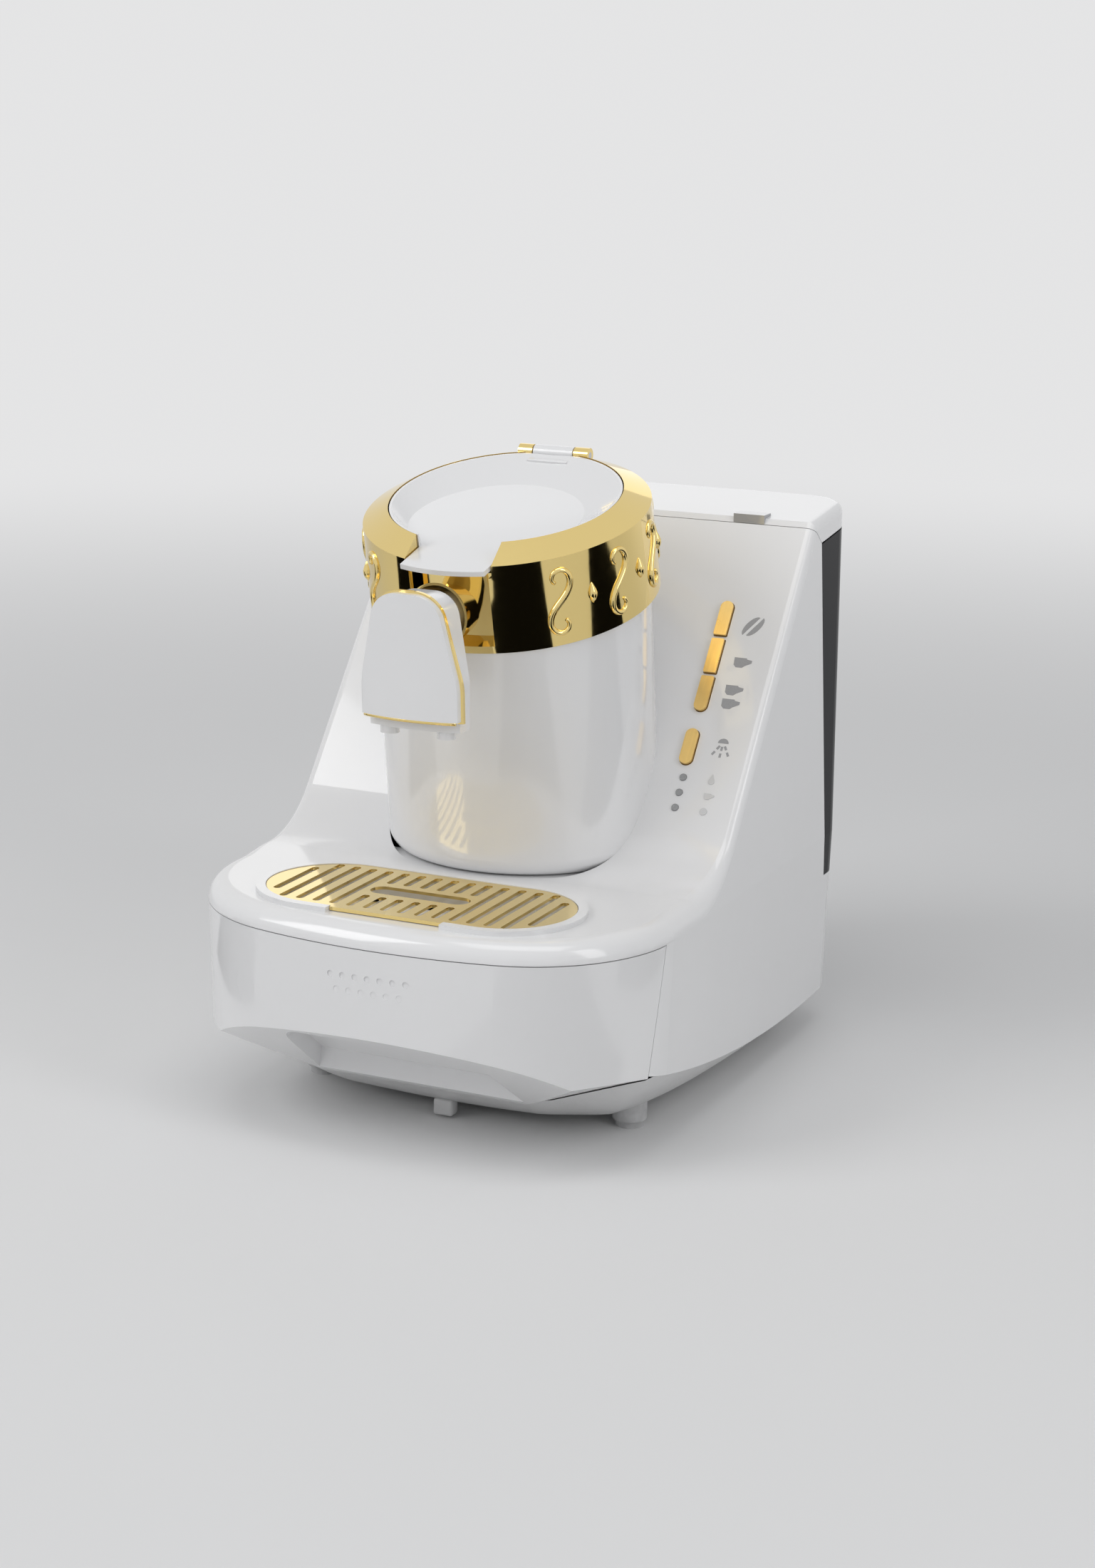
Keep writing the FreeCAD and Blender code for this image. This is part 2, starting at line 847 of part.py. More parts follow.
def ring_spot(drop, forward=0):
    """A point in the ring's leaning frame: forward of its axis, and down from its upper edge."""
    drop, forward = as_size(drop), as_size(forward)
    lean_sin, lean_cos = sine(ring_tilt), cosine(ring_tilt)
    return ring_y + drop * lean_sin - forward * lean_cos, ring_z - drop * lean_cos - forward * lean_sin


def leaning_rod(name, radius, drop, length):
    """A round bar on the ring's axis, from a drop below its upper edge upwards."""
    y, z = ring_spot(drop)
    return rod(name, 0, y, z, radius, length, X_AXIS, ring_tilt)


def pot_rod(name, radius, base):
    """A round bar on the pot's axis, cut level at a height and along the ring's lean at its top."""
    below = 60
    y = cell("pot_foot_depth") + sine(pot_lean) * below
    z = deck - cosine(pot_lean) * below
    bar = rod(name + "_bar", 0, y, z, radius, 2 * FAR - below, X_AXIS, pot_lean)
    above = box(name + "_above", (-FAR, -FAR, base), (FAR, FAR, 2 * FAR))
    y_top, z_top = ring_spot(cell("ring_height"))
    under = doc.addObject("Part::Box", name + "_under")
    under.Length = under.Width = under.Height = 2 * FAR
    lean_sin, lean_cos = sine(ring_tilt), cosine(ring_tilt)
    placed(
        under,
        -FAR,
        y_top - FAR * lean_cos + 2 * FAR * lean_sin,
        z_top - FAR * lean_sin - 2 * FAR * lean_cos,
        X_AXIS,
        ring_tilt,
    )
    return shared(name, bar, above, under)


def on_deck(edge):
    return abs(middle(edge).z - deck.number) < 0.01


pot_solid = pot_rod("pot_solid", cell("pot_radius"), deck)
pot_round = filleted(
    "pot_round",
    pot_solid,
    [(on_deck, cell("pot_foot_radius"), cell("pot_foot_radius"))],
)
pot_hollow = pot_rod("pot_hollow", cell("pot_radius") - wall, deck + wall)
pot_shell = as_piece(cut("pot_shell", pot_round, pot_hollow), "pot_shell")
pot_clear = pot_rod("pot_clear", cell("pot_radius"), deck)
ring_clear = leaning_rod("ring_clear", cell("ring_foot_radius") + gap, cell("ring_height") + seat, 80)

# Slope frame: its origin is on the sloping front, z points out of the face and y runs up the slope

SLOPE_TURN = 90 - cell("slope_angle").number
# Rounding of a key's half round ends and of its square corners, as shares of its half width
END_SHARE = 0.97
CORNER_SHARE = 0.2


def on_slope(item, x, run, out=0):
    """Place an object in the slope frame: x across, run up the slope, out from the face."""
    run, out = as_size(run), as_size(out)
    angle = cell("slope_angle")
    y = cell("slope_depth") + run * sine(angle) - out * cosine(angle)
    z = cell("slope_height") + run * cosine(angle) + out * sine(angle)
    return placed(item, x, y, z, X_AXIS, SLOPE_TURN)


def key_form(name, run, length, width, low, high, round_top, round_foot):
    """A key's outline between two heights over the face; its ends are half round or square."""
    body = new_body(name)
    sketch = new_sketch(body, "XY_Plane", name + "_plan", low)
    half_length, half = length / 2, width / 2
    polygon(sketch, [(-half, -half_length), (half, -half_length), (half, half_length), (-half, half_length)])
    pad(body, sketch, as_size(high) - low)
    top_radius = half * (END_SHARE if round_top else CORNER_SHARE)
    foot_radius = half * (END_SHARE if round_foot else CORNER_SHARE)
    rounded(body, top_radius, lambda edge: stands(edge) and middle(edge).y > 0, name + "_top")
    rounded(body, foot_radius, lambda edge: stands(edge) and middle(edge).y < 0, name + "_foot")
    return on_slope(body, cell("button_side"), run)


KEYS = [
    ("first", True, False),
    ("second", False, False),
    ("third", False, True),
    ("fourth", True, True),
]
key_length = cell("button_length")
key_width = cell("button_width")
flange_room = cell("button_flange_room")
key_holes = []
for name, round_top, round_foot in KEYS:
    run = cell("button_" + name)
    stem = key_form(
        f"button_{name}_cap", run, key_length, key_width,
        -wall - seat, cell("button_proud"), round_top, round_foot,
    )
    flange = key_form(
        f"button_{name}_flange", run, key_length + flange_room, key_width + 2 * flange_room,
        -wall - seat - cell("button_flange"), -wall - seat, round_top, round_foot,
    )
    as_piece(joined(f"button_{name}", stem, flange), f"button_{name}")
    key_holes.append(
        key_form(
            f"button_{name}_hole", run, key_length + 2 * seat, key_width + 2 * seat,
            -2 * wall, wall, round_top, round_foot,
        )
    )

led_holes = []
led_parts = []
for index in range(3):
    run = cell("led_first") - cell("led_pitch") * index
    hole = rod(f"led_hole_{index}", 0, 0, 0, cell("led_radius") + cell("led_clearance"), 4 * wall)
    lens = rod(f"led_lens_{index}", 0, 0, 0, cell("led_radius"), wall + cell("led_proud"))
    led_holes.append(on_slope(hole, cell("led_side"), run, -2 * wall))
    led_parts.append(on_slope(lens, cell("led_side"), run, -wall))
as_piece(joined("led_lenses", *led_parts), "led_lenses")

# Drip tray and grille: slots of one grid, seated in a stadium ring on the deck

tray_y = -cell("grille_depth")
grille_top = cell("grille_top_height")
grille_foot = grille_top - cell("grille_thickness")


def stadium_form(name, grow, start, end):
    """The grille's outline, grown all round, between two heights."""
    body = new_body(name)
    sketch = new_sketch(body, "XY_Plane", name + "_plan", start)
    radius = cell("grille_half_depth")
    stadium(sketch, 0, tray_y, cell("grille_half_length") - radius, radius + grow)
    pad(body, sketch, as_size(end) - start)
    return body


tray_notch = box(
    "tray_notch",
    (-cell("tray_notch_half_width"), tray_y - FAR / 2, deck),
    (cell("tray_notch_half_width"), tray_y - cell("grille_half_depth") + cell("tray_notch_depth"), deck + 10),
)
tray_drain = rod(
    "tray_drain", 0, tray_y + cell("tray_drain_shift"), deck - 30, cell("tray_drain_radius"), 60
)
ledge = -cell("tray_ledge")
tray_floor = cell("tray_floor_height")
as_piece(
    cut_all(
        "drip_tray",
        joined(
            "drip_tray_blank",
            stadium_form("tray_rim", cell("tray_rim_width"), deck, cell("tray_rim_height")),
            stadium_form("tray_basin", ledge + cell("tray_wall"), tray_floor - cell("tray_wall"), deck),
        ),
        stadium_form("tray_seat", seat, grille_foot - seat, deck + 10),
        stadium_form("tray_hollow", ledge, tray_floor, deck + 5),
        tray_drain,
        tray_notch,
    ),
    "drip_tray",
)
deck_opening = stadium_form("deck_opening", ledge + cell("tray_wall") + seat, deck - 20, deck + 5)

grille = new_body("drip_grille")
plate = new_sketch(grille, "XY_Plane", "grille_plate", grille_foot)
grille_half = cell("grille_half_depth")
stadium(plate, 0, tray_y, cell("grille_half_length") - grille_half, grille_half)
pad(grille, plate, cell("grille_thickness"))
lip = new_sketch(grille, "XY_Plane", "grille_lip", deck + seat)
lip_front = tray_y - grille_half - cell("grille_lip_reach")
lip_back = tray_y - grille_half + cell("grille_lip_reach")
lip_half = cell("tray_notch_half_width") - seat
polygon(lip, [(-lip_half, lip_front), (lip_half, lip_front), (lip_half, lip_back), (-lip_half, lip_back)])
pad(grille, lip, grille_top - deck - seat)
slot_half = cell("slot_width") / 2
slots = new_sketch(grille, "XY_Plane", "grille_slots", grille_top + 1)
long_half = cell("slot_reach") - slot_half
short_half = (cell("slot_reach") - cell("short_slot_start")) / 2 - slot_half
short_middle = (cell("slot_reach") + cell("short_slot_start")) / 2
slot_columns = 16
short_columns = range(5, 11)
for column in range(slot_columns):
    across = cell("slot_pitch") * (column - (slot_columns - 1) / 2)
    if column in (0, slot_columns - 1):
        stadium(slots, across, tray_y, cell("end_slot_reach") - slot_half, slot_half, upright=True)
    elif column in short_columns:
        stadium(slots, across, tray_y + short_middle, short_half, slot_half, upright=True)
        stadium(slots, across, tray_y - short_middle, short_half, slot_half, upright=True)
    else:
        stadium(slots, across, tray_y, long_half, slot_half, upright=True)
stadium(slots, 0, tray_y, cell("finger_half_length") - cell("finger_radius"), cell("finger_radius"))
pocket(grille, slots, 4 + cell("grille_thickness"))
as_piece(grille, "drip_grille")

# Housing, bottom pan and drawer

port_y = cell("valve_depth")
valve_port = rod("valve_port", 0, port_y, tank_foot - 20, cell("valve_radius") + seat * 2, 40)
inlet_x = cell("inlet_side")
inlet_z = cell("inlet_height")
barrel_radius = cell("inlet_radius") - cell("inlet_step")
inlet_hole = rod("inlet_hole", inlet_x, rear - 20, inlet_z, barrel_radius, 40, X_AXIS, -90)
housing_solid = cut_all("housing_solid", hull, drawer_zone, back_zone)
as_piece(
    cut_all(
        "housing",
        shared("housing_over_crease", housing_solid, crease_drum),
        cavity,
        pot_clear,
        ring_clear,
        deck_opening,
        valve_port,
        inlet_hole,
        *key_holes,
        *led_holes,
    ),
    "housing",
)
base_behind = cut("base_behind", base_outer, drawer_zone)
as_piece(cut_all("bottom_pan", base_behind, crease_drum, base_inner), "bottom_pan")


def grip_form(name, grow, depth, back):
    """The finger scoop in the bevel: round upper corners, slanted ends, a floor under the bevel."""
    top = cell("bevel_top_height") - cell("grip_margin") + grow
    outline = new_body(name + "_outline")
    sketch = new_sketch(outline, "XZ_Plane", name + "_front")
    foot_half = cell("grip_foot_half_width") + grow
    top_half = cell("grip_top_half_width") + grow
    polygon(sketch, [(-foot_half, 0), (foot_half, 0), (top_half, top), (-top_half, top)])
    pad(outline, sketch, FAR)
    rounded(
        outline,
        cell("grip_corner_radius") + grow,
        lambda edge: middle(edge).z > top.number - 0.1 and not longer_than_corners(edge),
        name + "_corners",
    )
    front = cell("bevel_top_depth") - 2 * cell("grip_margin")
    side = side_form(
        name + "_floor",
        [
            (-FAR, -1),
            (-back, -1),
            (-back, bevel_z(back, depth)),
            (-front - grow, bevel_z(front, depth)),
            (-FAR, bevel_z(front, depth)),
        ],
    )
    return shared(name, outline, side)


dots = new_body("dot_tool")
dot_sketch = new_sketch(dots, "XZ_Plane", "dot_grid", 0)
for row in (-1, 0, 1):
    count = 6 if row == 0 else 7
    for index in range(count):
        across = cell("dot_pitch") * (index - (count - 1) / 2)
        up = cell("dot_middle_height") + cell("dot_row_pitch") * row
        circle(dot_sketch, across, up, cell("dot_radius"))
pad(dots, dot_sketch, 2 * FAR)
dot_reach = cell("front_bow_radius") - cell("dot_depth")
dot_drum = rod("dot_drum", 0, cell("front_bow_radius") - cell("front_reach"), -1, dot_reach, FAR)
dot_pits = cut("dot_pits", dots, dot_drum)

boss_rods = [
    rod(
        f"drawer_boss_{index}", side * cell("drawer_boss_side"), -cell("bin_front_depth") - seat,
        cell("drawer_boss_height"), cell("drawer_boss_radius"), 70, X_AXIS, 90,
    )
    for index, side in enumerate((-1, 1))
]
drawer_shell = cut_all(
    "drawer_shell",
    shared("drawer_front_solid", base_outer, drawer_front_zone),
    cut(
        "drawer_front_hollow",
        base_inner,
        grip_form("grip_keep", wall, cell("grip_depth") + wall, cell("bevel_foot_depth") - 20),
    ),
)
as_piece(
    cut_all(
        "drawer_front",
        joined(
            "drawer_front_blank",
            drawer_shell,
            shared("drawer_bosses", joined("drawer_boss_pair", *boss_rods), base_outer),
        ),
        grip_form("grip_scoop", as_size(0), cell("grip_depth"), cell("bevel_foot_depth") + wall),
        dot_pits,
    ),
    "drawer_front",
)

bin_half = cell("bin_half_width")
bin_wall = cell("bin_wall")
bin_floor = cell("bin_floor_height")
bin_rim = cell("bin_rim_height")
drip_bin = new_body("drip_bin")
bin_plan = new_sketch(drip_bin, "XY_Plane", "bin_plan", bin_floor)
polygon(
    bin_plan,
    [
        (-bin_half, -cell("bin_front_depth")),
        (bin_half, -cell("bin_front_depth")),
        (bin_half, cell("bin_rear_depth")),
        (-bin_half, cell("bin_rear_depth")),
    ],
)
pad(drip_bin, bin_plan, bin_rim - bin_floor)
rounded(drip_bin, bin_wall * 4, stands, "bin_corners")
bin_hollow = new_sketch(drip_bin, "XY_Plane", "bin_hollow", bin_rim)
polygon(
    bin_hollow,
    [
        (-bin_half + bin_wall, -cell("bin_front_depth") + bin_wall),
        (bin_half - bin_wall, -cell("bin_front_depth") + bin_wall),
        (bin_half - bin_wall, cell("bin_rear_depth") - bin_wall),
        (-bin_half + bin_wall, cell("bin_rear_depth") - bin_wall),
    ],
)
pocket(drip_bin, bin_hollow, bin_rim - bin_floor - bin_wall)
as_piece(drip_bin, "drip_bin")

runner_wall = cell("runner_wall")
runner_floor = bin_floor - seat
runner_side = bin_half + seat
runner_front = parting_y(runner_floor) + gap + 1
runner_back = cell("bin_rear_depth") + seat
runner_box = box(
    "runner_box",
    (-runner_side - runner_wall, runner_front, runner_floor - runner_wall),
    (runner_side + runner_wall, runner_back + runner_wall, bin_rim - 12),
)
runner_room = box("runner_room", (-runner_side, -FAR, runner_floor), (runner_side, runner_back, deck))
runner_legs = [
    rod(
        f"runner_leg_{row}_{index}", side * cell("runner_leg_side"), y, cell("foot_height") + wall,
        cell("runner_leg_radius"), runner_floor - cell("foot_height") - wall - 0.5,
    )
    for row, y in (("front", -cell("runner_leg_front")), ("rear", cell("runner_leg_rear")))
    for index, side in enumerate((-1, 1))
]
as_piece(joined("drawer_guide", cut("runner_channel", runner_box, runner_room), *runner_legs), "drawer_guide")

# Gold ring: band, bezel and the niche that the spout grows from

ring_height = cell("ring_height")
ring_foot = cell("ring_foot_radius")
ring_top = cell("ring_top_radius")
ring_wall = cell("ring_wall")
bezel_radius = cell("bezel_inner_radius")


def ring_body(name, outline):
    """A round piece on the ring's leaning axis, turned from an outline of radius and height."""
    body = new_body(name)
    sketch = new_sketch(body, "XZ_Plane", name + "_outline")
    polygon(sketch, outline)
    turned(body, sketch)
    return placed(body, 0, ring_y, ring_z, X_AXIS, ring_tilt)


def ring_box(name, half, rear_reach, front_reach, low, high):
    """A box in the ring's leaning frame, given by its half width, reaches forward and heights."""
    item = doc.addObject("Part::Box", name)
    bind(item, "Length", 2 * half)
    bind(item, "Width", as_size(front_reach) - rear_reach)
    bind(item, "Height", as_size(high) - low)
    y, z = ring_spot(-as_size(low), front_reach)
    return placed(item, -as_size(half), y, z, X_AXIS, ring_tilt)


niche_half = cell("niche_half_width")
niche = ring_box("niche", niche_half, 40, 80, -ring_height + cell("ring_flange"), 1)
band = ring_body(
    "band_round",
    [
        (ring_foot, -ring_height),
        (ring_top, 0),
        (ring_top - ring_wall, 0),
        (ring_foot - ring_wall, -ring_height + cell("ring_flange")),
        (cell("cup_top_radius") + 2, -ring_height + cell("ring_flange")),
        (cell("cup_top_radius") + 2, -ring_height),
    ],
)
bezel_drop = cell("bezel_drop")
bezel = ring_body(
    "bezel_round",
    [
        (bezel_radius, cell("bezel_rise")),
        (bezel_radius, -bezel_drop),
        (ring_top - ring_wall - 0.1, -bezel_drop),
        (ring_top - ring_wall - 0.1, 0),
        (ring_top, 0),
    ],
)
lid_gap = cell("lid_clearance")
tab_half = cell("tab_half_width")
tab_way = ring_box("tab_way", tab_half + lid_gap, 30, 80, -bezel_drop - 1, 10)
as_piece(cut_all("ring_band", band, niche, tab_way), "ring_band")
pin_r = cell("lid_pin_radius")
knuckle_r = cell("lid_knuckle_radius")
knuckle_half = cell("lid_knuckle_half_length")
pin_reach = bezel_radius + 1.5
pin_rise = cell("bezel_rise") - 1


def ring_cross(name, radius, half):
    """A round bar across the machine at the brew lid's hinge."""
    y, z = ring_spot(-pin_rise, -pin_reach)
    return rod(name, -as_size(half), y, z, radius, 2 * as_size(half), Y_AXIS, 90)


hinge_way = joined(
    "hinge_way",
    ring_cross("hinge_way_round", knuckle_r + lid_gap, knuckle_half + lid_gap),
    ring_box("hinge_way_front", knuckle_half + lid_gap, -pin_reach, -40, pin_rise - knuckle_r - lid_gap, 10),
    ring_box(
        "hinge_way_over", knuckle_half + lid_gap, -pin_reach - knuckle_r - lid_gap, -40, pin_rise, 10
    ),
)
lid_pin = ring_cross("lid_pin", pin_r, cell("lid_pin_half_length"))
pin_bore = ring_cross("lid_pin_bore", pin_r, cell("lid_pin_half_length"))
bosses = ring_cross("bezel_hinge_boss", knuckle_r, cell("lid_pin_half_length"))
bezel_blank = joined("bezel_blank", bezel, bosses)
as_piece(cut_all("bezel_ring", bezel_blank, tab_way, hinge_way, pin_bore), "bezel_ring")
as_piece(lid_pin, "lid_hinge_pin")

# Brew lid: a round plate with a shallow dish, a pouring tab and a gasket

lid_radius = bezel_radius - lid_gap
lid_top = cell("bezel_rise") - cell("lid_rim_drop")
lid_under = -cell("lid_plate")
lid_round = ring_body(
    "lid_round",
    [(0, lid_under), (lid_radius, lid_under), (lid_radius, lid_top), (0, lid_top)],
)
dish = doc.addObject("Part::Loft", "lid_dish")
dish_floor = doc.addObject("Part::Circle", "dish_floor")
bind(dish_floor, "Radius", cell("dish_floor_radius"))
floor_y, floor_z = ring_spot(0, cell("dish_floor_shift"))
placed(dish_floor, 0, floor_y, floor_z, X_AXIS, ring_tilt)
dish_rim = doc.addObject("Part::Circle", "dish_rim")
bind(dish_rim, "Radius", lid_radius - cell("dish_rim_margin"))
rim_y, rim_z = ring_spot(-lid_top - 0.05)
placed(dish_rim, 0, rim_y, rim_z, X_AXIS, ring_tilt)
dish.Sections = [dish_rim, dish_floor]
dish.Solid = True
tab_reach = cell("tab_reach")
tab_blank = ring_box("tab_blank", tab_half, 30, tab_reach + 2, lid_under + 0.4, lid_top)
tab_over = ring_box("tab_over", tab_half, 30, tab_reach + 4, 0, lid_top + 1)
tab_round = ring_body("tab_round", [(0, -5), (tab_reach, -5), (tab_reach, 10), (0, 10)])
tab = shared("lid_tab", tab_blank, tab_round)
knuckle = ring_cross("lid_knuckle", knuckle_r, knuckle_half)
knuckle_arm = ring_box(
    "lid_arm", knuckle_half, -pin_reach, -bezel_radius + 8, pin_rise - knuckle_r, pin_rise
)
pin_room = ring_cross("lid_pin_room", pin_r + cell("pin_clearance"), knuckle_half + 2)
boss_way = ring_cross("lid_boss_way", knuckle_r + lid_gap, cell("lid_pin_half_length") + lid_gap)
lid_plate = cut_all("lid_plate_open", cut("lid_plate_dished", lid_round, dish), tab_over, boss_way)
lid_blank = joined("brew_lid_blank", lid_plate, cut("lid_tab_flat", tab, tab_over), knuckle, knuckle_arm)
as_piece(cut("brew_lid", lid_blank, pin_room), "brew_lid")
gasket_outer = cell("cup_top_radius") - cell("gasket_margin")
gasket_inner = gasket_outer - cell("gasket_width")
gasket_low = lid_under - cell("gasket_height")
as_piece(
    ring_body(
        "lid_gasket",
        [
            (gasket_inner, gasket_low),
            (gasket_outer, gasket_low),
            (gasket_outer, lid_under),
            (gasket_inner, lid_under),
        ],
    ),
    "lid_gasket",
)
probe_y, probe_z = ring_spot(-lid_under + cell("probe_length"))
boil_probe = rod(
    "boil_probe", 0, probe_y, probe_z, cell("probe_radius"), cell("probe_length"), X_AXIS, ring_tilt
)
as_piece(boil_probe, "boil_probe")

# Brew cup and what heats it

cup_top = cell("cup_top_radius")
cup_foot = cell("cup_foot_radius")
cup_wall = cell("cup_wall")
cup_rim = -cell("cup_rim_drop")
cup_depth = -cell("cup_depth")
flange_foot = -ring_height + cell("ring_flange")
neck_bore_radius = cell("neck_radius") - cell("neck_wall")
neck_bore = rod("neck_bore", 0, -100, cell("spout_height"), neck_bore_radius, 80, X_AXIS, -90)
cup_round = ring_body(
    "cup_round",
    [
        (0, cup_depth),
        (cup_foot, cup_depth),
        (cup_top, flange_foot),
        (cell("cup_flange_radius"), flange_foot),
        (cell("cup_flange_radius"), flange_foot + cup_wall),
        (cup_top, flange_foot + cup_wall),
        (cup_top, cup_rim),
        (cup_top - cup_wall, cup_rim),
        (cup_top - cup_wall, flange_foot),
        (cup_foot - cup_wall, cup_depth + cup_wall),
        (0, cup_depth + cup_wall),
    ],
)
as_piece(cut("brew_cup", cup_round, neck_bore), "brew_cup")
heater_foot = cup_depth - cell("heater_thickness")
heater_r = cell("heater_radius")
as_piece(
    ring_body(
        "heater_plate",
        [(0, heater_foot), (heater_r, heater_foot), (heater_r, cup_depth), (0, cup_depth)],
    ),
    "heater_plate",
)
stand_y = ring_spot(-heater_foot)[0]
stand_tube = cut(
    "stand_tube",
    rod("stand_round", 0, stand_y, deck + wall, cell("stand_radius"), 90),
    rod("stand_room", 0, stand_y, deck, cell("stand_radius") - cell("stand_wall"), 100),
)
stand_top = ring_box("stand_top", FAR, -FAR, FAR, heater_foot, 60)
as_piece(cut("heater_stand", stand_tube, stand_top), "heater_stand")

# Spout: boss and neck on the ring, a head under them, two nozzles and the cover in front

spout_z = cell("spout_height")
boss_front = cell("boss_front_depth")
boss_rear = cell("boss_rear_depth")
floor_out = cell("niche_floor_inset")
floor_in = floor_out + cell("niche_floor_wall")
floor_top = -bezel_drop - cell("niche_floor_drop")
niche_floor = shared(
    "niche_floor",
    ring_body(
        "niche_floor_round",
        [
            (ring_top - floor_in, floor_top),
            (ring_top - floor_out, floor_top),
            (ring_foot - floor_out, flange_foot),
            (ring_foot - floor_in, flange_foot),
        ],
    ),
    ring_box("niche_floor_box", niche_half - 0.1, 40, 80, flange_foot, 0),
)
boss_cone = taper(
    "boss_cone", 0, -boss_rear, spout_z, cell("boss_foot_radius"), cell("boss_rim_radius"),
    boss_front - boss_rear, X_AXIS, 90,
)
boss_dish = taper(
    "boss_dish", 0, -boss_rear - 6, spout_z, cell("neck_radius"), cell("boss_rim_radius") - 1,
    boss_front - boss_rear - 6 + 0.1, X_AXIS, 90,
)
boss_inner = leaning_rod("boss_inner", ring_top - floor_in, ring_height, 60)
neck_way = rod("neck_way", 0, -FAR, spout_z, cell("neck_radius"), FAR - 40, X_AXIS, -90)
boss_blank = joined("spout_boss_blank", niche_floor, boss_cone)
as_piece(cut_all("spout_boss", boss_blank, boss_dish, boss_inner, neck_way), "spout_boss")
head_rear = cell("head_rear_depth")
head_front = cell("head_front_depth")
neck = cut_all(
    "neck_tube",
    rod("neck_outer", 0, -head_rear - 1, spout_z, cell("neck_radius"), head_rear + 1 - cup_top, X_AXIS, -90),
    rod("neck_inner", 0, -head_rear - 2, spout_z, neck_bore_radius, head_rear, X_AXIS, -90),
    leaning_rod("neck_end", cup_top, ring_height + 10, 60),
)
as_piece(neck, "spout_neck")

cover_half = cell("cover_half_width")
cover_foot = cell("cover_foot_height")
cover_thick = cell("cover_thickness")
shoulder = cell("cover_shoulder_height")
cover_top = cell("cover_top_height")
top_half = cell("cover_top_half_width")
# Roundings of the arch, as shares of its half widths at the top and at the shoulder
TOP_SHARE = 0.92
SIDE_SHARE = 1.6


def arch_form(name, grow, start, length, low=None):
    """The cover's arch from the front, between two depths: a square foot under a round top."""
    body = new_body(name)
    sketch = new_sketch(body, "XZ_Plane", name + "_arch", start)
    low = cover_foot - grow if low is None else low
    polygon(
        sketch,
        [
            (-cover_half - grow, low),
            (cover_half + grow, low),
            (cover_half + grow, shoulder),
            (top_half, cover_top + grow),
            (-top_half, cover_top + grow),
            (-cover_half - grow, shoulder),
        ],
    )
    pad(body, sketch, length)

    def at_top(edge):
        return middle(edge).z > cover_top.number - 4 and abs(middle(edge).x) > top_half.number - 1

    def at_shoulder(edge):
        return all(abs(end.Point.z - shoulder.number) < 0.1 for end in edge.Vertexes)

    rounded(body, top_half * TOP_SHARE + grow, at_top, name + "_top")
    rounded(body, cover_half * SIDE_SHARE, at_shoulder, name + "_side")
    return body


def bow_form(name, forward):
    """The round bar, leaning with the cover, whose front bows a face a distance before the head."""
    y = -head_front - forward + cell("cover_bow_radius")
    low = cover_foot - 30
    return rod(name, 0, y, low, cell("cover_bow_radius"), 120, X_AXIS, cell("cover_lean_angle"))


trim_thick = cell("trim_thickness")
cover_bow = bow_form("cover_bow", cover_thick + trim_thick)
trim_bow = bow_form("trim_bow", trim_thick)
head_bow = bow_form("head_bow", 0)
cover_blank = arch_form("cover_blank", as_size(0), head_rear + 2, 30)
trim_blank = arch_form("trim_blank", cell("trim_overlap"), head_rear + 2, 30)
as_piece(cut("spout_cover", shared("cover_bowed", cover_blank, cover_bow), trim_bow), "spout_cover")
as_piece(cut("spout_trim", shared("trim_bowed", trim_blank, trim_bow), head_bow), "spout_trim")
head_low = cell("head_foot_height")
head_blank = arch_form("head_blank", -cell("head_inset"), head_rear, 30, head_low)
nozzle_y = -cell("nozzle_depth") + cell("nozzle_rear_shift")
nozzle_low = cell("nozzle_foot_height")
nozzle_r = cell("nozzle_radius")
nozzle_long = cell("nozzle_length")
nozzle_sockets = []
nozzles = []
for name, side in (("nozzle_left", -1), ("nozzle_right", 1)):
    x = side * cell("nozzle_side")
    nozzle_sockets.append(rod(name + "_socket", x, nozzle_y, head_low - 1, nozzle_r, 10))
    round_bar = rod(name + "_bar", x, nozzle_y, nozzle_low, nozzle_r, nozzle_long)
    bore = rod(name + "_bore", x, nozzle_y, nozzle_low - 1, cell("nozzle_bore_radius"), nozzle_long + 2)
    nozzles.append((name, cut(name, round_bar, bore)))
head_bowed = shared("head_bowed", head_blank, head_bow)
as_piece(cut_all("spout_head", head_bowed, *nozzle_sockets, neck_way), "spout_head")
for name, nozzle in nozzles:
    as_piece(nozzle, name)

# Water tank, its lid and hinge

tank_wall = cell("tank_wall")
hinge_y = rear
hinge_z = tank_rear_top + 0.5 * gap
hinge_r = cell("hinge_radius")
hinge_half = cell("hinge_half_length")
hinge_mid = cell("hinge_knuckle_half")


def hinge_bar(name, radius, start, end):
    """A round bar on the tank lid's hinge, between two places across the machine."""
    return rod(name, start, hinge_y, hinge_z, radius, as_size(end) - start, Y_AXIS, 90)


tank_plan = plan_form("tank_plan", tank_wall, tank_foot - 5, as_size(2 * FAR))
tank_room = shared(
    "tank_room",
    tank_plan,
    side_form(
        "tank_room_side",
        [
            (tank_front + gap + tank_wall, tank_top + 30),
            (tank_front + gap + tank_wall, tank_top),
            (tank_y(tank_foot) + gap + tank_wall, tank_foot + seat + tank_wall),
            (FAR, tank_foot + seat + tank_wall),
            (FAR, tank_top + 30),
        ],
    ),
)
tank_blank = cut_all("tank_blank", shared("tank_solid", hull, tank_zone), tank_room)
tank_knuckles = joined(
    "tank_knuckles",
    hinge_bar("tank_knuckle_left", hinge_r, -hinge_half, -hinge_mid - gap),
    hinge_bar("tank_knuckle_right", hinge_r, hinge_mid + gap, hinge_half),
)
lid_swing = hinge_bar("lid_swing", hinge_r + gap, -hinge_mid - gap, hinge_mid + gap)
tank_pin = hinge_bar("tank_lid_pin", cell("hinge_pin_radius"), -hinge_half, hinge_half)
tank_pin_bore = hinge_bar("tank_pin_bore", cell("hinge_pin_radius"), -hinge_half, hinge_half)
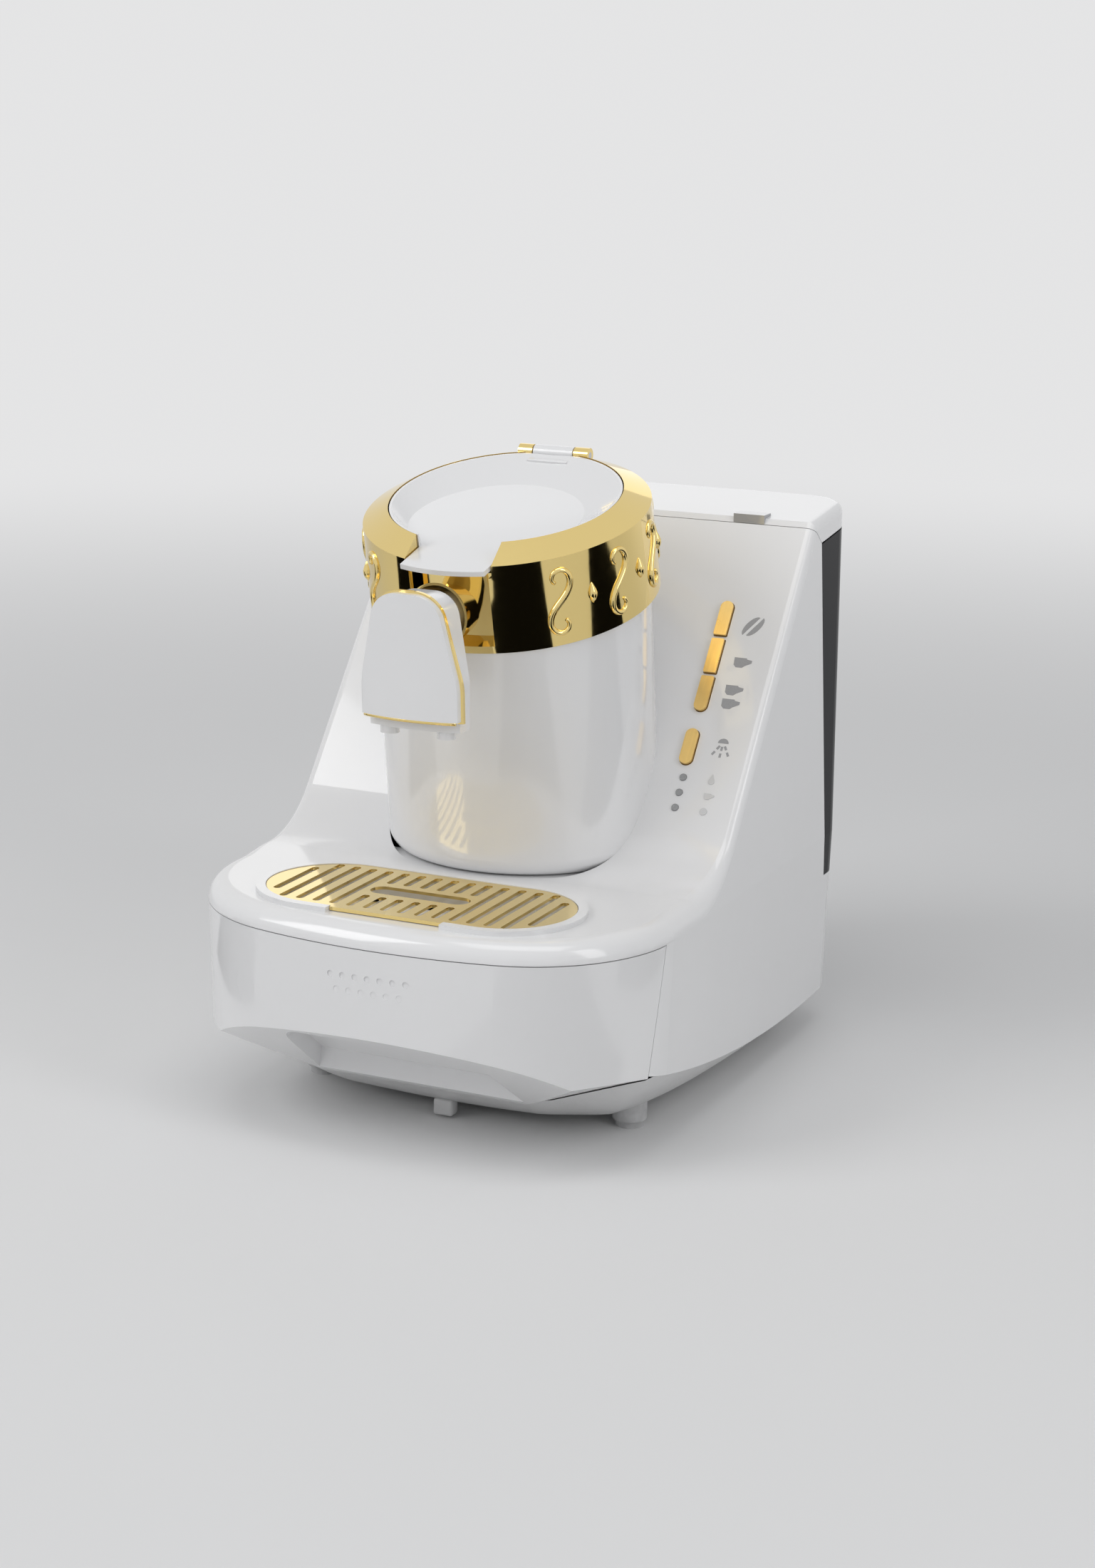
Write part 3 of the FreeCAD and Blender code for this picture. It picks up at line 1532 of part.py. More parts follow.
stem_radius = cell("valve_radius") - cell("valve_rim")
valve_hole = rod("valve_hole", 0, port_y, tank_foot - 10, stem_radius, 30)
tank_whole = joined("tank_whole", tank_blank, tank_knuckles)
as_piece(cut_all("water_tank", tank_whole, tank_pin_bore, lid_swing, valve_hole), "water_tank")
as_piece(tank_pin, "tank_lid_pin")
lid_room = shared(
    "tank_lid_room",
    plan_form("lid_room_plan", wall, as_size(150), as_size(2 * FAR)),
    side_form(
        "lid_room_side",
        [
            (slope_y(lid_front) + 5, 150),
            (slope_y(lid_front) + 5, lid_front - wall),
            (rear, cell("lid_rear_height") - wall),
            (FAR, cell("lid_rear_height") - wall),
            (FAR, 150),
        ],
    ),
)
lid_solid = shared("tank_lid_solid", hull, lid_zone)
tank_swing = joined(
    "tank_swing",
    hinge_bar("tank_swing_left", hinge_r + gap, -hinge_half - gap, -hinge_mid),
    hinge_bar("tank_swing_right", hinge_r + gap, hinge_mid, hinge_half + gap),
)
pin_way_radius = cell("hinge_pin_radius") + cell("pin_clearance")
lid_pin_room = hinge_bar("lid_pin_way", pin_way_radius, -hinge_mid - 1, hinge_mid + 1)
lid_knuckle = hinge_bar("lid_middle_knuckle", hinge_r, -hinge_mid, hinge_mid)
lid_whole = joined("tank_lid_whole", cut("tank_lid_shell", lid_solid, lid_room), lid_knuckle)
as_piece(cut_all("tank_lid", lid_whole, tank_swing, lid_pin_room), "tank_lid")
valve_top = tank_foot + seat + tank_wall
valve_low = tank_foot - cell("valve_drop")
as_piece(
    joined(
        "tank_valve",
        rod("valve_flange", 0, port_y, valve_top, cell("valve_radius"), 2),
        rod("valve_stem", 0, port_y, valve_low, stem_radius, valve_top - valve_low),
    ),
    "tank_valve",
)
as_piece(
    cut(
        "dock_port",
        joined(
            "dock_port_blank",
            rod("dock_port_body", 0, port_y, tank_foot - wall - 9, cell("valve_radius") + 1, 9),
            rod("dock_port_neck", 0, port_y, tank_foot - wall, cell("valve_radius") + 2 * seat, wall),
        ),
        rod("dock_port_room", 0, port_y, valve_low - seat, stem_radius + seat, 30),
    ),
    "dock_port",
)
pull = box(
    "tank_lid_pull_box",
    (cell("tab_side"), slope_y(lid_front) - 2, lid_front - 2.2),
    (cell("tab_side") + cell("tab_length"), slope_y(lid_front) + 6, lid_front + 1.6),
)
as_piece(cut("tank_lid_tab", pull, hull), "tank_lid_tab")

# Key board behind the slope

board_x = cell("button_side")
board = doc.addObject("Part::Box", "key_board_plate")
bind(board, "Length", cell("board_width"))
bind(board, "Width", cell("board_length"))
bind(board, "Height", cell("board_thickness"))
on_slope(board, board_x - 12, -42, -cell("board_drop"))
posts = []
for row, run in enumerate((-38, 72)):
    for index, across in enumerate((-9, 13)):
        post = rod(f"board_post_{row}_{index}", 0, 0, 0, cell("board_post_radius"), cell("board_drop") - wall)
        posts.append(on_slope(post, board_x + across, run, -cell("board_drop")))
as_piece(joined("key_board", board, *posts), "key_board")
switch_top = -wall - seat - cell("button_flange") - cell("button_travel") - seat
switches = []
switch_foot = -cell("board_drop") + cell("board_thickness")
switch_side = cell("switch_side")
for name, _, _ in KEYS:
    item = doc.addObject("Part::Box", f"switch_{name}")
    bind(item, "Length", switch_side)
    bind(item, "Width", switch_side)
    bind(item, "Height", switch_top - switch_foot)
    on_slope(item, board_x - switch_side / 2, cell("button_" + name) - switch_side / 2, switch_foot)
    switches.append(item)
as_piece(joined("key_switches", *switches), "key_switches")

# Feet and mains inlet

FEET = [
    ("foot_front_left", -1, cell("front_foot_side"), -cell("front_foot_depth")),
    ("foot_front_right", 1, cell("front_foot_side"), -cell("front_foot_depth")),
    ("foot_rear_left", -1, cell("rear_foot_side"), cell("rear_foot_depth")),
    ("foot_rear_right", 1, cell("rear_foot_side"), cell("rear_foot_depth")),
]
foot_r = cell("foot_radius")
for name, side, x, y in FEET:
    lower = rod(name + "_pad", side * x, y, 0, foot_r - 1.2, cell("foot_height") / 2)
    upper = rod(name + "_disc", side * x, y, cell("foot_height") / 2, foot_r, cell("foot_height") * 2)
    as_piece(cut(name, joined(name + "_blank", lower, upper), base_outer), name)
collar_length = cell("inlet_reach") - rear
inlet = joined(
    "inlet_blank",
    rod("inlet_collar", inlet_x, rear, inlet_z, cell("inlet_radius") + 2, collar_length, X_AXIS, -90),
    rod("inlet_barrel", inlet_x, rear - 10, inlet_z, barrel_radius, 12, X_AXIS, -90),
)
inlet_bore = rod("inlet_bore", inlet_x, rear - 20, inlet_z, cell("inlet_bore_radius"), 40, X_AXIS, -90)
as_piece(cut("mains_inlet", inlet, inlet_bore), "mains_inlet")

doc.recompute()
for item in doc.Objects:
    if "Invalid" in item.State or "Error" in item.State:
        raise ValueError(f"{item.Label} failed: {item.State}")
for item in pieces:
    if item.Shape.isNull() or not item.Shape.isValid():
        raise ValueError(f"{item.Label} has no valid shape")
    item.Shape.exportStep(f"parts/{item.Label}.step")
    print(item.Label, len(item.Shape.Solids), round(item.Shape.Volume))
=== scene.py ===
"""Looks of an electric Turkish coffee maker: finishes, scrolls, piping, icons, pan, screws and studio."""

import json
import math

import bmesh
import bpy
from mathutils import Euler, Matrix, Vector
from mathutils.bvhtree import BVHTree


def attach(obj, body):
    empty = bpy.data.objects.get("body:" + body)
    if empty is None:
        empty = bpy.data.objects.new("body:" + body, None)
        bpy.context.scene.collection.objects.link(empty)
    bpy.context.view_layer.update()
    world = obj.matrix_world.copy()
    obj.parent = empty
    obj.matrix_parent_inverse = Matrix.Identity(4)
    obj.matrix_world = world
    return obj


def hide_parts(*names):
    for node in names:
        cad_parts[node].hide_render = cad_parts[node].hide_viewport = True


bl_info = {
    "name": "Turkish Coffee Maker",
    "version": (1, 0, 0),
    "blender": (4, 5, 0),
    "location": "View3D > Sidebar > Coffee Maker",
    "description": "Dresses the CAD frame of an electric Turkish coffee maker",
    "category": "Object",
}

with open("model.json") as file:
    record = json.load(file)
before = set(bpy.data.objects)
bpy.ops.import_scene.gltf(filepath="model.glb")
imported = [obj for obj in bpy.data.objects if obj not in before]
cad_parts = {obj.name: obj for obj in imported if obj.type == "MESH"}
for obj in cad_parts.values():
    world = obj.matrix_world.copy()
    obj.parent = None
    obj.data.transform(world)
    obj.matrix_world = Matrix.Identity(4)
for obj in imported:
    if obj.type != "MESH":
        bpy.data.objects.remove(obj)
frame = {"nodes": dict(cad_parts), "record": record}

MM = 0.001

# The sloping key panel: a point on it, the way up it and the way out of it
SLOPE_ORIGIN = Vector((0.0, 0.018, 0.1463))
SLOPE_ANGLE = math.radians(37.7)
SLOPE_UP = Vector((0.0, math.sin(SLOPE_ANGLE), math.cos(SLOPE_ANGLE)))
SLOPE_OUT = Vector((0.0, -math.cos(SLOPE_ANGLE), math.sin(SLOPE_ANGLE)))

# The leaning ring: the centre of its upper edge and its lean towards the front
RING_CENTRE = Vector((0.0, -0.0154, 0.2426))
RING_LEAN = math.radians(15)
RING_TOP_RADIUS = 0.0592
RING_FOOT_RADIUS = 0.060
RING_HEIGHT = 0.037

# The underside: the crease's arc as (depth, height) of its centre, and the middle of the sole
CREASE_CENTRE = (0.085, 0.676)
CREASE_RADIUS = 0.660
SOLE_CENTRE = Vector((0.0, 0.020, 0.0))
# The depth at which the pan ends under the drawer, and the reach from the sole at which its flank is full
PAN_FRONT = -0.0865
FLANK_REACH = 0.100
# How far the pan's rim lies inside the walls, and starting places of rays outside and under the machine
RIM_GAP = 0.4 * MM
OUTSIDE = 0.3
UNDER_FLOOR = -0.01

# The clear coat's roughness on every coated plastic
COAT_ROUGHNESS = 0.04

BACKDROP = (0.78, 0.78, 0.785)
FLOOR_RADIUS = 9.0
# Distances from the machine's middle over which the floor fades into the backdrop
FADE_START = 0.5
FADE_END = 1.9
# The camera's right and up, as solved from the perspective of the photograph
CAMERA_RIGHT = Vector((0.909283, 0.415873, 0.015912))
CAMERA_UP = Vector((-0.079757, 0.136603, 0.98741))
# Soft boxes: place, width by height, and share of the key lamp's power
LAMPS = (
    ("key_lamp", (-1.1, -1.3, 1.3), (0.9, 1.2), 1.0),
    ("side_lamp", (1.5, -0.5, 0.9), (0.5, 1.4), 0.42),
    ("top_lamp", (0.2, -0.5, 1.7), (1.2, 0.8), 0.4),
    ("rear_lamp", (-0.6, 1.6, 0.9), (1.0, 1.0), 0.1),
)
LAMP_TARGET = (0.0, 0.0, 0.13)
# Dark cards on the floor: heading from the front, distance, and width by depth
FLAGS = (
    ("flag_front", 34, 0.42, (0.26, 0.5)),
    ("flag_right", 104, 0.56, (0.32, 0.6)),
    ("flag_left", -64, 0.55, (0.2, 0.6)),
)


class Signal:
    """A number or vector from a material's nodes; sums and products on it add Math nodes."""

    def __init__(self, tree, socket):
        self.tree = tree
        self.socket = socket

    def combine(self, operation, first, second):
        """Add a Math node that works on two signals or numbers."""
        node = self.tree.nodes.new("ShaderNodeMath")
        node.operation = operation
        for entry, value in zip(node.inputs, (first, second)):
            if isinstance(value, Signal):
                self.tree.links.new(value.socket, entry)
            else:
                entry.default_value = value
        return Signal(self.tree, node.outputs[0])

    def __add__(self, other):
        return self.combine("ADD", self, other)

    def __mul__(self, other):
        return self.combine("MULTIPLY", self, other)


class Finish:
    """One procedural surface: a principled shader and the nodes that vary it."""

    def __init__(self, name, roughness, metallic=0.0, coat=0.0):
        self.material = bpy.data.materials.new(name)
        self.material.use_nodes = True
        self.tree = self.material.node_tree
        self.shader = self.tree.nodes["Principled BSDF"]
        self.shader.inputs["Roughness"].default_value = roughness
        self.shader.inputs["Metallic"].default_value = metallic
        self.shader.inputs["Coat Weight"].default_value = coat
        self.shader.inputs["Coat Roughness"].default_value = COAT_ROUGHNESS
        self.place = self.node("ShaderNodeTexCoord", {}, {}, "Object")

    def node(self, kind, settings, inputs, output=0):
        """Add a node with its settings, then its input values or links, and give one output."""
        made = self.tree.nodes.new(kind)
        for name, value in settings.items():
            setattr(made, name, value)
        for name, value in inputs.items():
            if isinstance(value, Signal):
                self.tree.links.new(value.socket, made.inputs[name])
            else:
                made.inputs[name].default_value = value
        return Signal(self.tree, made.outputs[output])

    def noise(self, scale, detail=2.0, stretch=(1.0, 1.0, 1.0)):
        """Cloudy noise from 0 to 1; scale counts features per metre."""
        spread = self.node("ShaderNodeVectorMath", {"operation": "MULTIPLY"}, {0: self.place, 1: stretch})
        inputs = {"Vector": spread, "Scale": scale, "Detail": detail}
        return self.node("ShaderNodeTexNoise", {}, inputs, "Fac")

    def paint(self, mask, low, high):
        """Colour the surface from low to high as the mask goes from 0 to 1."""
        # The Mix node's entry 0 is its factor, 6 and 7 are its colours, and output 2 is the mixed colour
        colors = {0: mask, 6: (*low, 1.0), 7: (*high, 1.0)}
        mixed = self.node("ShaderNodeMix", {"data_type": "RGBA"}, colors, 2)
        self.tree.links.new(mixed.socket, self.shader.inputs["Base Color"])

    def vary(self, entry, signal):
        """Drive one of the shader's entries by a signal."""
        self.tree.links.new(signal.socket, self.shader.inputs[entry])

    def emboss(self, height, strength, distance):
        """Raise the surface by a height signal times a distance in metres."""
        inputs = {"Height": height, "Strength": strength, "Distance": distance}
        bump = self.node("ShaderNodeBump", {}, inputs)
        self.tree.links.new(bump.socket, self.shader.inputs["Normal"])


def shade(color, factor):
    """A colour made darker or lighter."""
    return tuple(channel * factor for channel in color)


def glossy_plastic(name, color, roughness=0.16, coat=0.5):
    """Moulded plastic with a clear gloss, faint clouding and the slight waviness of a moulding."""
    finish = Finish(name, roughness, coat=coat)
    finish.paint(finish.noise(9, 3), shade(color, 0.965), shade(color, 1.02))
    finish.vary("Roughness", finish.noise(120, 4) * 0.08 + (roughness - 0.04))
    finish.emboss(finish.noise(55, 1) + finish.noise(900, 2) * 0.05, 0.05, 0.0006)
    return finish.material


def grained_plastic(name, color, roughness=0.5):
    """Satin plastic with the fine spark-eroded grain of an unseen or inner moulding."""
    finish = Finish(name, roughness)
    cells = finish.node("ShaderNodeTexVoronoi", {}, {"Vector": finish.place, "Scale": 1500.0}, "Distance")
    finish.paint(finish.noise(60, 4), shade(color, 0.9), shade(color, 1.06))
    finish.vary("Roughness", finish.noise(300, 3) * 0.16 + (roughness - 0.08))
    finish.emboss(cells, 0.35, 0.00015)
    return finish.material


def plated_gold(name, color):
    """Mirror gold plating: tone shifts a little, and faint ripples bend what it reflects."""
    finish = Finish(name, 0.06, metallic=1.0)
    finish.paint(finish.noise(14, 2), shade(color, 0.94), shade(color, 1.03))
    finish.vary("Roughness", finish.noise(260, 5) * 0.05 + 0.035)
    finish.emboss(finish.noise(45, 1), 0.06, 0.0008)
    return finish.material


def satin_gold(name, color):
    """Satin gold keys, brushed along the slope, darker where fingers wear them."""
    finish = Finish(name, 0.3, metallic=1.0)
    strokes = finish.noise(900, 3, (1.0, 0.06, 0.06))
    wear = finish.noise(140, 3)
    finish.paint(strokes * 0.6 + wear * 0.4, shade(color, 0.8), shade(color, 1.1))
    finish.vary("Roughness", wear * 0.16 + 0.22)
    finish.emboss(strokes, 0.2, 0.00012)
    return finish.material


def brushed_metal(name, color, roughness, strokes=(1.0, 1.0, 0.03)):
    """Metal drawn or turned, with fine strokes along the axes whose factor is small."""
    finish = Finish(name, roughness, metallic=1.0)
    lines = finish.noise(1600, 3, strokes)
    finish.paint(lines, shade(color, 0.84), shade(color, 1.08))
    finish.vary("Roughness", lines * 0.14 + (roughness - 0.07))
    finish.emboss(lines, 0.25, 0.0001)
    return finish.material


def cast_metal(name, color):
    """Sand-like cast aluminium with small pits."""
    finish = Finish(name, 0.45, metallic=1.0)
    pits = finish.noise(700, 6)
    finish.paint(pits, shade(color, 0.78), shade(color, 1.05))
    finish.vary("Roughness", pits * 0.2 + 0.35)
    finish.emboss(pits, 0.5, 0.0003)
    return finish.material


def soft_rubber(name, color):
    """Matte rubber, dusty in places."""
    finish = Finish(name, 0.7)
    dust = finish.noise(220, 5)
    finish.paint(dust, shade(color, 0.75), shade(color, 1.5))
    finish.vary("Roughness", dust * 0.2 + 0.6)
    finish.emboss(finish.noise(1800, 3), 0.3, 0.0002)
    return finish.material


def clear_lens(name, color):
    """Frosted light pipe with tiny prisms that are darker at their middles."""
    finish = Finish(name, 0.18, coat=0.8)
    prisms = finish.node("ShaderNodeTexVoronoi", {}, {"Vector": finish.place, "Scale": 2600}, "Distance")
    finish.paint(prisms, shade(color, 0.75), color)
    finish.vary("Roughness", prisms * 0.2 + 0.1)
    finish.emboss(prisms, 0.3, 0.0001)
    return finish.material


def circuit_board(name, mask_color, copper_color):
    """Green solder mask over copper tracks that run in steps."""
    finish = Finish(name, 0.35, coat=0.3)
    bricks = {"offset": 0.5, "squash": 1.0}
    sizes = {
        "Vector": finish.place,
        "Scale": 90.0,
        "Mortar Size": 0.045,
        "Mortar Smooth": 0.1,
        "Brick Width": 0.9,
        "Row Height": 0.35,
    }
    tracks = finish.node("ShaderNodeTexBrick", bricks, sizes, "Fac")
    finish.paint(tracks, mask_color, copper_color)
    finish.vary("Roughness", tracks * 0.15 + 0.3)
    finish.emboss(tracks, 0.4, 0.0002)
    return finish.material


def smoke_plastic(name, color):
    """Near-black smoke tinted plastic with a soft gloss and fine rubbed streaks."""
    finish = Finish(name, 0.2)
    finish.shader.inputs["Specular IOR Level"].default_value = 0.05
    streaks = finish.noise(500, 3, (1.0, 1.0, 0.05))
    finish.paint(streaks, shade(color, 0.8), shade(color, 1.5))
    finish.vary("Roughness", streaks * 0.08 + 0.16)
    finish.emboss(finish.noise(60, 1), 0.05, 0.0006)
    return finish.material


def screen_print(name, color):
    """Printed ink with the grain of its screen."""
    finish = Finish(name, 0.4)
    grain = finish.noise(2200, 2)
    finish.paint(grain, shade(color, 0.86), shade(color, 1.08))
    finish.vary("Roughness", grain * 0.2 + 0.32)
    return finish.material


def matte_card(name, color):
    """Black felt that throws nothing back."""
    finish = Finish(name, 0.9)
    finish.shader.inputs["Specular IOR Level"].default_value = 0.0
    finish.paint(finish.noise(200, 2), shade(color, 0.7), color)
    return finish.material


def backdrop_rays(tree):
    """A socket that is 1 for the rays that see the backdrop: from the camera, metal and glass."""
    path = tree.nodes.new("ShaderNodeLightPath")
    kinds = [path.outputs[f"Is {kind} Ray"] for kind in ("Camera", "Glossy", "Transmission")]
    found = kinds[0]
    for kind in kinds[1:]:
        either = tree.nodes.new("ShaderNodeMath")
        either.operation = "MAXIMUM"
        tree.links.new(found, either.inputs[0])
        tree.links.new(kind, either.inputs[1])
        found = either.outputs[0]
    return found


def pale_floor(name, color, backdrop):
    """Pale painted floor with soft mottling that fades into the backdrop far from the machine."""
    finish = Finish(name, 0.7)
    finish.shader.inputs["Specular IOR Level"].default_value = 0.0
    finish.paint(finish.noise(3, 3), shade(color, 0.985), shade(color, 1.01))
    distance = finish.node("ShaderNodeVectorMath", {"operation": "LENGTH"}, {0: finish.place}, "Value")
    far = finish.node(
        "ShaderNodeMapRange",
        {"interpolation_type": "SMOOTHSTEP"},
        {"Value": distance, "From Min": FADE_START, "From Max": FADE_END},
    )
    seen = Signal(finish.tree, backdrop_rays(finish.tree))
    glow = finish.node("ShaderNodeEmission", {}, {"Color": (*backdrop, 1.0)})
    output = finish.tree.nodes["Material Output"]
    shader = Signal(finish.tree, finish.shader.outputs[0])
    mixed = finish.node("ShaderNodeMixShader", {}, {0: far * seen, 1: shader, 2: glow})
    finish.tree.links.new(mixed.socket, output.inputs["Surface"])
    return finish.material


class CoffeeColors(bpy.types.PropertyGroup):
    """Colours of the machine's surfaces."""

    shell: bpy.props.FloatVectorProperty(
        name="Shell", description="Glossy white mouldings", subtype="COLOR", default=(0.82, 0.82, 0.825)
    )
    pan: bpy.props.FloatVectorProperty(
        name="Bottom pan", description="Satin white underside", subtype="COLOR", default=(0.66, 0.66, 0.66)
    )
    gold: bpy.props.FloatVectorProperty(
        name="Plating", description="Gold of ring and grille", subtype="COLOR", default=(0.9, 0.7, 0.29)
    )
    keys: bpy.props.FloatVectorProperty(
        name="Keys", description="Satin gold of the keys", subtype="COLOR", default=(0.86, 0.6, 0.22)
    )
    steel: bpy.props.FloatVectorProperty(
        name="Steel", description="Cup, pins and probe", subtype="COLOR", default=(0.62, 0.62, 0.63)
    )
    tank: bpy.props.FloatVectorProperty(
        name="Tank", description="Dark smoke water tank", subtype="COLOR", default=(0.012, 0.012, 0.014)
    )
    inner: bpy.props.FloatVectorProperty(
        name="Inner parts", description="Grey inner mouldings", subtype="COLOR", default=(0.16, 0.165, 0.175)
    )
    rubber: bpy.props.FloatVectorProperty(
        name="Rubber", description="Feet, gasket and inlet", subtype="COLOR", default=(0.045, 0.045, 0.047)
    )
    tab: bpy.props.FloatVectorProperty(
        name="Lid tab", description="Grey tab of the tank lid", subtype="COLOR", default=(0.33, 0.335, 0.35)
    )
    ink: bpy.props.FloatVectorProperty(
        name="Icons", description="Grey print beside the keys", subtype="COLOR", default=(0.36, 0.36, 0.37)
    )


class CoffeeScrolls(bpy.types.PropertyGroup):
    """Sizes of the raised scrolls round the ring."""

    count: bpy.props.IntProperty(
        name="Scrolls", description="Scrolls from niche to niche", default=11, min=2, max=40
    )
    height: bpy.props.FloatProperty(
        name="Scroll height", description="Height of one scroll", subtype="DISTANCE", default=0.0265
    )
    bead: bpy.props.FloatProperty(
        name="Bead radius", description="Radius of the raised bead", subtype="DISTANCE", default=0.0014
    )
    leaf: bpy.props.FloatProperty(
        name="Leaf length", description="Length of the small leaves", subtype="DISTANCE", default=0.0085
    )
    free_angle: bpy.props.FloatProperty(
        name="Bare front",
        description="Half the bare angle at the spout",
        subtype="ANGLE",
        default=math.radians(30),
    )


class CoffeeIcons(bpy.types.PropertyGroup):
    """Places and sizes of the marks beside the keys."""

    side: bpy.props.FloatProperty(
        name="Side", description="How far right the icons stand", subtype="DISTANCE", default=0.0833
    )
    print_height: bpy.props.FloatProperty(
        name="Print height", description="How far the ink stands proud", subtype="DISTANCE", default=0.00006
    )
    mark_height: bpy.props.FloatProperty(
        name="Mark height", description="How far the marks stand proud", subtype="DISTANCE", default=0.0003
    )


class CoffeePan(bpy.types.PropertyGroup):
    """Shape of the bottom pan under the crease."""

    spokes: bpy.props.IntProperty(
        name="Spokes", description="Points round the pan's rim", default=180, min=24
    )
    rings: bpy.props.IntProperty(name="Rings", description="Steps from rim to sole", default=14, min=2)
    width: bpy.props.FloatProperty(
        name="Flank width", description="Step in from rim to sole", subtype="DISTANCE", default=0.035
    )
    sole: bpy.props.FloatProperty(
        name="Sole height", description="Height over the floor", subtype="DISTANCE", default=0.0026
    )


class CoffeeStage(bpy.types.PropertyGroup):
    """Camera and light of the studio."""

    lens: bpy.props.FloatProperty(
        name="Lens", description="Focal length in millimetres", default=66.84, min=10
    )
    camera: bpy.props.FloatVectorProperty(
        name="Camera", description="Where the camera stands", subtype="XYZ", default=(0.5006, -1.0771, 0.4196)
    )
    drop: bpy.props.FloatProperty(name="Shift", description="Vertical lens shift", default=-0.16)
    lamp_power: bpy.props.FloatProperty(
        name="Lamp power", description="Power of the key lamp", subtype="POWER", default=12.5
    )
    sky: bpy.props.FloatProperty(name="Sky", description="Strength of the even light", default=0.42, min=0)


def new_piece(name, mesh, material, body="machine"):
    """Link a mesh as one piece that rides on a body."""
    piece = bpy.data.objects.new(name, mesh)
    bpy.context.scene.collection.objects.link(piece)
    mesh.materials.clear()
    mesh.materials.append(material)
    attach(piece, body)
    return piece


def mesh_from(shape, name, smooth=False):
    """Turn a bmesh into mesh data with its faces pointing outwards."""
    if smooth:
        for face in shape.faces:
            face.smooth = True
    bmesh.ops.remove_doubles(shape, verts=shape.verts, dist=1e-7)
    bmesh.ops.recalc_face_normals(shape, faces=shape.faces)
    mesh = bpy.data.meshes.new(name)
    shape.to_mesh(mesh)
    shape.free()
    return mesh


def merge(shape, part):
    """Add one bmesh to another and free it."""
    holder = bpy.data.meshes.new("part")
    part.to_mesh(holder)
    part.free()
    shape.from_mesh(holder)
    bpy.data.meshes.remove(holder)


def add_bead(shape, points, radii, bead):
    """Sweep a round bead along points, thicker or thinner by radii, into a bmesh."""
    curve = bpy.data.curves.new("bead", "CURVE")
    curve.dimensions = "3D"
    curve.bevel_depth = bead
    curve.bevel_resolution = 3
    curve.use_fill_caps = True
    spline = curve.splines.new("POLY")
    spline.points.add(len(points) - 1)
    for point, place, radius in zip(spline.points, points, radii):
        point.co = (*place, 1.0)
        point.radius = radius
    holder = bpy.data.objects.new("bead", curve)
    swept = bpy.data.meshes.new_from_object(holder)
    shape.from_mesh(swept)
    bpy.data.objects.remove(holder)
    bpy.data.curves.remove(curve)
    bpy.data.meshes.remove(swept)


def scroll_points(height, steps=44, turn=4.9):
    """An S scroll whose bend grows evenly from its middle, so that both ends curl in."""
    points = []
    reach = math.sqrt(2 * turn)
    step = reach / steps
    for way in (-1, 1):
        x = y = 0.0
        run = []
        for index in range(steps):
            heading = ((index + 0.5) * step) ** 2 / 2 + math.pi / 4
            x += math.cos(heading) * step * way
            y += math.sin(heading) * step * way
            run.append((x, y))
        points = [*reversed(run), (0.0, 0.0)] if way < 0 else [*points, *run]
    tall = max(point[1] for point in points) - min(point[1] for point in points)
    return [(x * height / tall, y * height / tall, 0.0) for x, y in points]


def wrap_on_ring(place, angle):
    """Carry a flat point (across, up, out) onto the ring's tapering wall at an angle from the front."""
    across, up, out = place
    level = up - RING_HEIGHT / 2
    radius = RING_TOP_RADIUS + (RING_FOOT_RADIUS - RING_TOP_RADIUS) * (-level / RING_HEIGHT) + out
    turn = angle + across / RING_FOOT_RADIUS
    flat = Vector((math.sin(turn) * radius, -math.cos(turn) * radius, level))
    return RING_CENTRE + Euler((RING_LEAN, 0.0, 0.0)).to_matrix() @ flat


class COFFEE_OT_ring_scrolls(bpy.types.Operator):
    """Raise S scrolls with leaves between them round the gold ring"""

    bl_idname = "coffee.ring_scrolls"
    bl_label = "Ring scrolls"

    def execute(self, context):
        sizes = context.scene.coffee_scrolls
        shape = bmesh.new()
        span = 2 * math.pi - 2 * sizes.free_angle
        outline = scroll_points(sizes.height)
        middle = (len(outline) - 1) / 2
        thinning = 0.45
        swell = [1.0 - thinning * (abs(index - middle) / middle) ** 2 for index in range(len(outline))]
        leaf_swell = [0.25, 0.95, 1.35, 1.4, 1.1, 0.65, 0.2]
        steps = len(leaf_swell) - 1
        leaf = [(0.0, sizes.leaf * (step / steps - 0.5), 0.0) for step in range(steps + 1)]
        for index in range(sizes.count):
            angle = sizes.free_angle + span * (index + 0.5) / sizes.count
            self.add_wrapped(shape, outline, swell, sizes.bead, angle)
            if index < sizes.count - 1:
                between = angle + span / sizes.count / 2
                self.add_wrapped(shape, leaf, leaf_swell, sizes.bead, between)
        gold = plated_gold("scroll_plating", context.scene.coffee_colors.gold)
        new_piece("ring_scrolls", mesh_from(shape, "ring_scrolls", smooth=True), gold)
        return {"FINISHED"}

    def add_wrapped(self, shape, outline, swell, bead, angle):
        """Sweep one flat motif and lay it on the ring."""
        flat = bmesh.new()
        add_bead(flat, outline, swell, bead)
        for vertex in flat.verts:
            vertex.co = wrap_on_ring(vertex.co, angle)
        merge(shape, flat)


def wall_tree(name):
    """A search tree of a part's surface."""
    shape = bmesh.new()
    shape.from_mesh(bpy.data.objects[name].data)
    tree = BVHTree.FromBMesh(shape)
    shape.free()
    return tree


